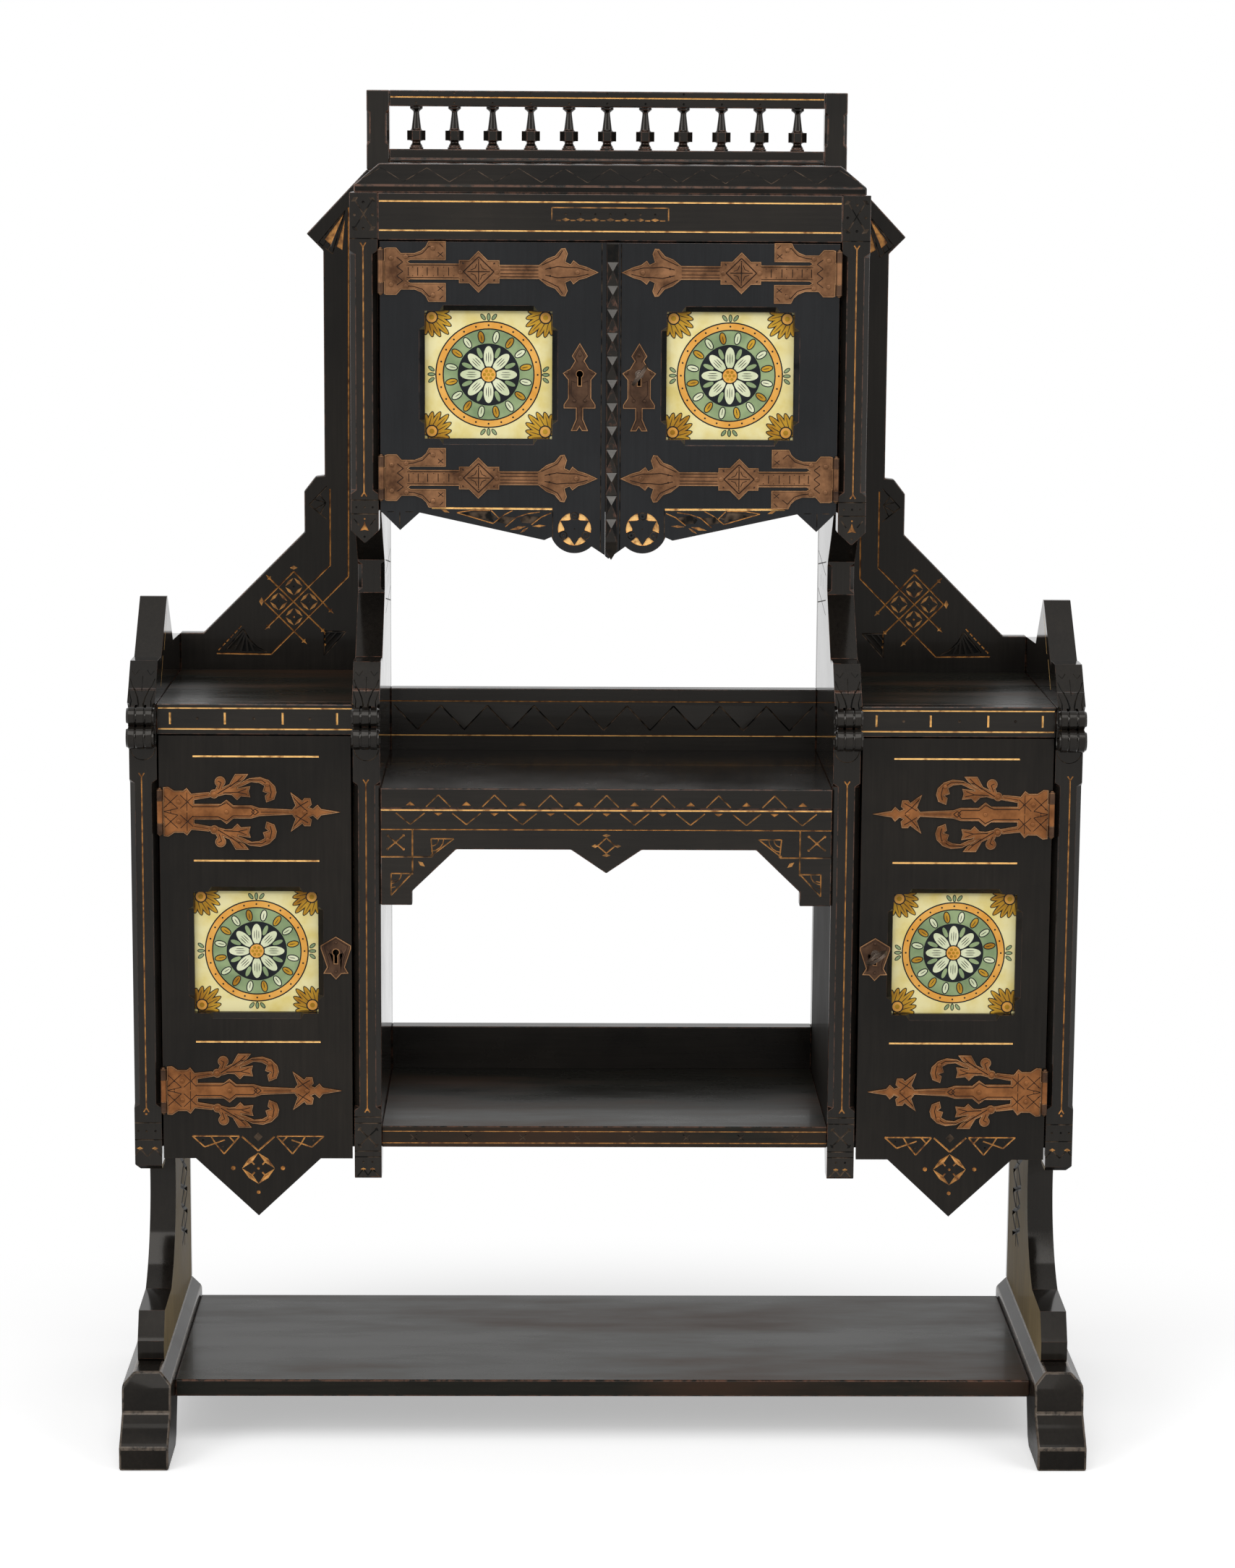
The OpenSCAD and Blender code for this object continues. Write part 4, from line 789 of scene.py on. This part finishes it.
for s, side in ((-1, "left"), (1, "right")):
    straps = plated("upper_straps_" + side, -12.5, 1.3, 0.7)
    cuts, pits, nicks = [], [], []
    for z in (1416.4, 1178.3):
        for m in (-1, 1):
            here = []
            here += path((18.5, m * 16), (25.5, m * 10.7), (18.5, m * 5.3), (25.5, 0), w=0.9)
            here += path((27, m * 16.5), (37.5, m * 17.2), (48, m * 20.4), (56, m * 29), w=0.9)
            here += path((56, m * 29), (62, m * 24), w=0.8) + path((68, m * 32), (72, m * 28), w=0.8)
            here += path((66, m * 17), (72, m * 22), w=0.8) + path((72, m * 17), (66, m * 22), w=0.8)
            here += path((30, m * 7), (90, m * 7), w=0.7)
            here += [((u, 0), (u, m * 4.8), 0.9) for u in (31.9, 42.8, 53.8, 66.1, 78.5)]
            here += path((95.4, 0), (113, m * 17), (130.6, 0), w=1.1)
            here += path((113, 0), (113, m * 12), w=1.0) + path((113 - m * 13, 0), (113, 0), w=1.0)
            here += path((104, m * 2), (109, m * 4), (111, m * 9), w=0.8)
            here += path((122, m * 2), (117, m * 4), (115, m * 9), w=0.8)
            here += [((138, m * v), (182, m * v), 0.8) for v in (5.6, 2.2)]
            here += path((186, m * 8), (197, m * 13), (205, m * 17), (210, m * 25), w=0.9)
            here += path((190, m * 3.4), (204, m * 6.5), (216, m * 5.5), (226, m * 5.4), (240, m * 2), w=0.9)
            cuts += [((264.7 - a, z + b), (264.7 - c, z + d), 1.4 * w) for (a, b), (c, d), w in here]
            pits += [(264.7 - u, z + m * 5, 0.8) for u in (37, 48.5, 60.8, 72.7, 84.5)]
            pits += [(264.7 - 195.5, z + m * 4.4, 1.5), (264.7 - 113, z + m * 13.4, 1.1)]
            nicks += [(264.7 - u, z + m * 13.4, 0, 2, 1.6, 1) for u in (52, 69)]
            nicks += [(264.7 - 95, z + m * 9.6, 45, 2, 1.4, 0.8), (264.7 - 131, z + m * 9.6, -45, 2, 1.4, 0.8)]
    # The cut lines are filled with dark dirt that is also painted shade.
    incise(straps, front(-11.9, s), cuts, pits, nicks, fill=copper_dirt_and_shade)

for s, side in ((-1, "left"), (1, "right")):
    straps = plated("lower_straps_" + side, -2.5, 1.2, 0.7, copper_bright)
    cuts, pits, nicks = [], [], []
    for z in (781, 442):
        for m in (-1, 1):
            here = []
            here += path((4, m * 4), (21, m * 20), w=0.8) + path((4, m * 20), (21, m * 4), w=0.8)
            here += path((24, m * 4), (39, m * 18), w=0.8) + path((24, m * 20), (39, m * 5), w=0.8)
            here += path((31.8, m * 1), (31.8, m * 23), w=0.7) + path((4, 0), (21, m * 4), w=0.8)
            here += path((38, m * 6), (68.5, m * 6), (78.6, m * 11), (86, m * 4.8), (107, m * 4.8),
                         (111.5, 0), w=0.9)
            here += path((40, m * 17.5), (57, m * 20.4), w=0.7)
            here += path((108, 0), (112, m * 3.6), (116.4, 0), w=0.9)
            here += path((119, m * 0.8), (152, m * 0.8), w=0.6)
            here += path((68, m * 21.6), (80, m * 29), (92, m * 36.6), (106, m * 38.4), (120, m * 38.2), w=1.0)
            here += path((120, m * 38.2), (130, m * 31.6), (131.6, m * 23.6), (130, m * 17), w=0.9)
            here += path((83, m * 30), (92, m * 37), (98, m * 43), w=0.9)
            here += path((75, m * 22.8), (92, m * 23.6), (103, m * 21), w=0.9)
            here += path((92, m * 23.6), (102, m * 27.6), w=0.8)
            here += path((69.4, m * 27), (72.4, m * 35), (68.6, m * 37), w=0.8)
            here += path((157, m * 18), (166, m * 8), (174, m * 1), w=0.9)
            here += path((160, m * 4), (168, m * 9), (175, m * 13), w=0.9)
            cuts += [((528.2 - a, z + b), (528.2 - c, z + d), 1.4 * w) for (a, b), (c, d), w in here]
            pits += [(528.2 - u, z + m * v, 0.9) for u, v in ((12.6, 11.2), (33.6, 11.2), (12.6, 1), (7, 6))]
    # The cut lines are filled with dark dirt that is also painted shade.
    incise(straps, front(-1.9, s), cuts, pits, nicks, fill=copper_dirt_and_shade)
# The hinge leaves' arrises take the rubbed copper, wear and painted highlight.
dressed("hinge_leaves", copper_dark, copper_rubbed_and_highlight, 0.0004)

# Keyhole plates, with raised rims, small screws and a dark keyhole, and the two keys that stand
# in the locks of the right-hand doors.
for s, side in ((-1, "left"), (1, "right")):
    plate = plated("upper_escutcheon_" + side, -12, 1.3, 0.6, copper_dark)
    here = []
    for m in (-1, 1):
        here += path((0, 30), (m * 5.4, 20), (m * 2.6, 13.4), w=0.9)
        here += path((m * 4, -10), (m * 9.6, -8), (m * 9.8, -24), (m * 4, -31), w=0.9)
        here += path((m * 2, -43), (m * 2, -52), (m * 6, -62), w=0.8)
    # The cut lines are filled with dark dirt that is also painted shade.
    incise(plate, front(-11.5, s), fill=copper_dirt_and_shade,
           lines=[((34.5 + a, 1299.5 + b), (34.5 + c, 1299.5 + d), w) for (a, b), (c, d), w in here])
    plate = plated("lower_escutcheon_" + side, -2, 1.3, 0.6, copper_dark)
    here = []
    for m in (-1, 1):
        here += path((0, 16), (m * 14, 7.4), (m * 8, -14), (m * 9, -21), w=0.9)
        here += path((m * 6, 3), (m * 9, -3), (m * 5, -11), w=0.8)
    # The cut lines are filled with dark dirt that is also painted shade.
    incise(plate, front(-1.5, s), fill=copper_dirt_and_shade,
           lines=[((321.5 + a, 611.5 + b), (321.5 + c, 611.5 + d), w) for (a, b), (c, d), w in here])
steel = coppered("browned steel", (0.045, 0.032, 0.024), (0.115, 0.085, 0.065), 0.7, 0.35, 0.55)
steel_rubbed = coppered("rubbed steel", (0.13, 0.10, 0.08), (0.30, 0.25, 0.21), 0.85, 0.3, 0.45)
for node in ("upper_key", "lower_key"):
    dressed(node, steel, steel_rubbed, 0.0005)

# Locks on the backs of the doors with their bolts, and the upright bolt inside the left-hand
# upper door.
brass = coppered("dull brass", (0.22, 0.14, 0.055), (0.42, 0.29, 0.12), 0.8, 0.35, 0.55)
for node in ("upper_lock", "lower_lock_left", "lower_lock_right", "door_bolt", "door_bolt_plate"):
    dressed(node, steel, steel_rubbed, 0.0004)
for node in ("upper_lock_bolt", "lower_lock_bolt_left", "lower_lock_bolt_right"):
    dressed(node, brass, steel_rubbed, 0.0003)


# Tiles. Square earthenware tiles with thick glossy glaze, let in behind the doors' openings: a
# ringed flower on a cream ground with a leaf fan in each corner, drawn in dark outlines.
def glazed(name, base, shade):
    """transparent glaze over a brushed colour"""
    made, nodes, link, shader = surface(name)
    plain = placed(nodes, link)
    wash = noise(nodes, link, plain, 34, 5)
    link(ramp(nodes, link, wash, 0.35, 0.62, shade, base), shader.inputs["Base Color"])
    shader.inputs["Roughness"].default_value = 0.4
    shader.inputs["Specular IOR Level"].default_value = 0.1
    shader.inputs["Coat Weight"].default_value = 0.15
    shader.inputs["Coat Roughness"].default_value = 0.09
    dented(nodes, link, noise(nodes, link, plain, 22, 2), 0.15, 0.0006, shader.inputs["Coat Normal"])
    return made


cream = glazed("cream glaze", (0.86, 0.78, 0.42), (0.78, 0.64, 0.22))
orange = glazed("orange glaze", (0.84, 0.44, 0.10), (0.74, 0.33, 0.05))
leaf_gold = glazed("golden brown glaze", (0.60, 0.34, 0.03), (0.36, 0.16, 0.01))
sage = glazed("grey green glaze", (0.32, 0.41, 0.21), (0.20, 0.28, 0.14))
line_dark = glazed("dark outline glaze", (0.010, 0.013, 0.016), (0.006, 0.007, 0.009))
ivory = glazed("pale glaze", (0.78, 0.80, 0.56), (0.60, 0.66, 0.42))
backing, nodes, link, shader = surface("brown backing wood")
grain = noise(nodes, link, placed(nodes, link, (5, 90, 90)), 2.5, 6)
figured = ramp(nodes, link, grain, 0.3, 0.7, (0.075, 0.04, 0.022), (0.2, 0.12, 0.068))
link(figured, shader.inputs["Base Color"])
shader.inputs["Roughness"].default_value = 0.6


def glaze_shape(glaze, x, z, wide, tall, turn, level, sides=28, band=0.0):
    """one closed thin field of colour, an ellipse or a band round it; level is its height"""
    bpy.ops.mesh.primitive_circle_add(vertices=sides, radius=0.0005, fill_type="NGON",
                                      location=(0, 0, 0), rotation=(pi / 2, 0, 0))
    field = bpy.context.active_object
    field.data.materials.append(glaze)
    bpy.ops.object.mode_set(mode="EDIT")
    bpy.ops.transform.resize(value=(wide, 1, tall))
    if band:
        bpy.ops.mesh.inset(thickness=band / 1000, depth=0)
        bpy.ops.mesh.delete(type="FACE")
        bpy.ops.mesh.select_all(action="SELECT")
    bpy.ops.mesh.extrude_region_move(TRANSFORM_OT_translate={"value": (0, 0.0004 + level * 0.00012, 0)})
    bpy.ops.mesh.select_all(action="SELECT")
    bpy.ops.mesh.normals_make_consistent(inside=False)
    bpy.ops.object.mode_set(mode="OBJECT")
    field.rotation_euler = (pi / 2, -radians(turn), 0)
    field.location = (x / 1000, -level * 0.00012, z / 1000)
    bpy.ops.object.transform_apply(location=True, rotation=True, scale=True)
    return field


bpy.ops.object.select_all(action="DESELECT")
parts = [glaze_shape(line_dark, 0, 0, 124, 124, 0, 1, 72, band=10),
         glaze_shape(orange, 0, 0, 121, 121, 0, 2, 72, band=7),
         glaze_shape(sage, 0, 0, 104.4, 104.4, 0, 1, 64), glaze_shape(line_dark, 0, 0, 72, 72, 0, 2, 56)]
for i in range(24):
    t = radians(15 * i)
    parts.append(glaze_shape(line_dark, 57 * cos(t), 57 * sin(t), 2.2, 2.2, 0, 3, 10))
for i in range(16):
    degrees = 22.5 * i + 11.25
    t = radians(degrees)
    petal = ivory if i % 2 else leaf_gold
    parts.append(glaze_shape(line_dark, 44 * cos(t), 44 * sin(t), 15, 8.4, degrees, 2, 20))
    parts.append(glaze_shape(petal, 44 * cos(t), 44 * sin(t), 12.6, 6, degrees, 3, 20))
    parts.append(glaze_shape(line_dark, 43 * cos(t), 43 * sin(t), 8, 0.8, degrees, 4, 8))
for i in range(8):
    t = radians(45 * i + 22.5)
    parts.append(glaze_shape(sage, 27 * cos(t), 27 * sin(t), 13, 5, 45 * i + 22.5, 3, 16))
    t = radians(45 * i)
    parts.append(glaze_shape(ivory, 20.5 * cos(t), 20.5 * sin(t), 25, 11.4, 45 * i, 4, 24))
    for j in (-1, 0, 1):
        parts.append(glaze_shape(line_dark, 20 * cos(t) - 2.6 * j * sin(t), 20 * sin(t) + 2.6 * j * cos(t),
                                 13 - 3 * abs(j), 0.8, 45 * i, 5, 8))
parts += [glaze_shape(line_dark, 0, 0, 19, 19, 0, 5, 32), glaze_shape(orange, 0, 0, 16.4, 16.4, 0, 6, 32)]
for i in range(7):
    t = radians(60 * i)
    r = 4.8 if i < 6 else 0
    parts.append(glaze_shape(leaf_gold, r * cos(t), r * sin(t), 3.8, 3.8, 0, 7, 12))
for i in (-1, 1):
    for j in (-1, 1):
        inward = atan2(-j, -i)
        for k in range(7):
            t = inward + radians(-45 + 15 * k)
            long = 34 - 3.4 * abs(k - 3)
            x, z = 73 * i + (3 + long / 2) * cos(t), 73 * j + (3 + long / 2) * sin(t)
            degrees = t * 180 / pi
            parts.append(glaze_shape(line_dark, x, z, long + 2.4, 8.6, degrees, 1 + k % 2, 20))
            parts.append(glaze_shape(leaf_gold, x, z, long, 6.2, degrees, 3 + k % 2, 20))
            parts.append(glaze_shape(line_dark, x, z, long * 0.7, 0.8, degrees, 5, 10))
        parts.append(glaze_shape(line_dark, 66 * i, 66 * j, 15, 15, 0, 6, 24))
        parts.append(glaze_shape(orange, 66 * i, 66 * j, 12, 12, 0, 7, 24))
        parts.append(glaze_shape(leaf_gold, 66 * i, 66 * j, 6, 6, 0, 8, 16))
for i in range(4):
    t = radians(90 * i)
    for m in (-1, 0, 1):
        x, z = 66.5 * cos(t) - 6.5 * m * sin(t), 66.5 * sin(t) + 6.5 * m * cos(t)
        parts.append(glaze_shape(line_dark, x, z, 9, 4.6, 90 * i + 38 * m, 1, 16))
        parts.append(glaze_shape(sage, x, z, 7, 2.8, 90 * i + 38 * m, 2, 16))
for field in parts:
    field.select_set(True)
bpy.context.view_layer.objects.active = parts[0]
bpy.ops.object.join()
pattern = bpy.context.active_object
pattern.name = "tile_pattern"
for name, x, z, y in (("upper_tile_left", -140.3, 1297.5, 2), ("upper_tile_right", 140.3, 1297.5, 2),
                      ("lower_tile_left", -416.55, 610.2, 12), ("lower_tile_right", 416.55, 610.2, 12)):
    dressed(name, cream, cream, 0.0008)
    dressed(name.replace("tile", "tile_back"), backing, backing, 0.0006)
    bpy.ops.object.select_all(action="DESELECT")
    pattern.select_set(True)
    bpy.context.view_layer.objects.active = pattern
    bpy.ops.object.duplicate()
    picture = bpy.context.active_object
    picture.name = name + "_pattern"
    picture.location = Vector((x, y - TO_MIDDLE, z)) / 1000
    bpy.ops.object.transform_apply(location=True, rotation=False, scale=False)
    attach(picture, frame["nodes"][name]["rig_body"])
bpy.data.objects.remove(pattern)

# Carving and fairing. All cuts of a board are made together, and each piece is shaded so that its
# flat faces stay flat between the softened arrises.
for piece in pieces:
    knives = [knife for owner, knife in waiting if owner == piece]
    bpy.ops.object.select_all(action="DESELECT")
    if knives:
        for knife in knives:
            knife.select_set(True)
        bpy.context.view_layer.objects.active = knives[0]
        if len(knives) > 1:
            bpy.ops.object.join()
        bpy.ops.object.select_all(action="DESELECT")
    piece.select_set(True)
    bpy.context.view_layer.objects.active = piece
    if knives:
        bpy.ops.object.modifier_add(type="BOOLEAN")
        cut = piece.modifiers[-1]
        cut.operation = "DIFFERENCE"
        cut.solver = "EXACT"
        cut.use_self = True
        cut.material_mode = "TRANSFER"
        cut.object = knives[0]
        bpy.ops.object.modifier_apply(modifier=cut.name)
        bpy.data.objects.remove(knives[0])
    bpy.ops.object.shade_smooth_by_angle(angle=radians(38 if piece.name.startswith("foot") else 15))
    bpy.ops.object.modifier_add(type="WEIGHTED_NORMAL")
    piece.modifiers[-1].keep_sharp = True
    bpy.ops.object.modifier_apply(modifier=piece.modifiers[-1].name)
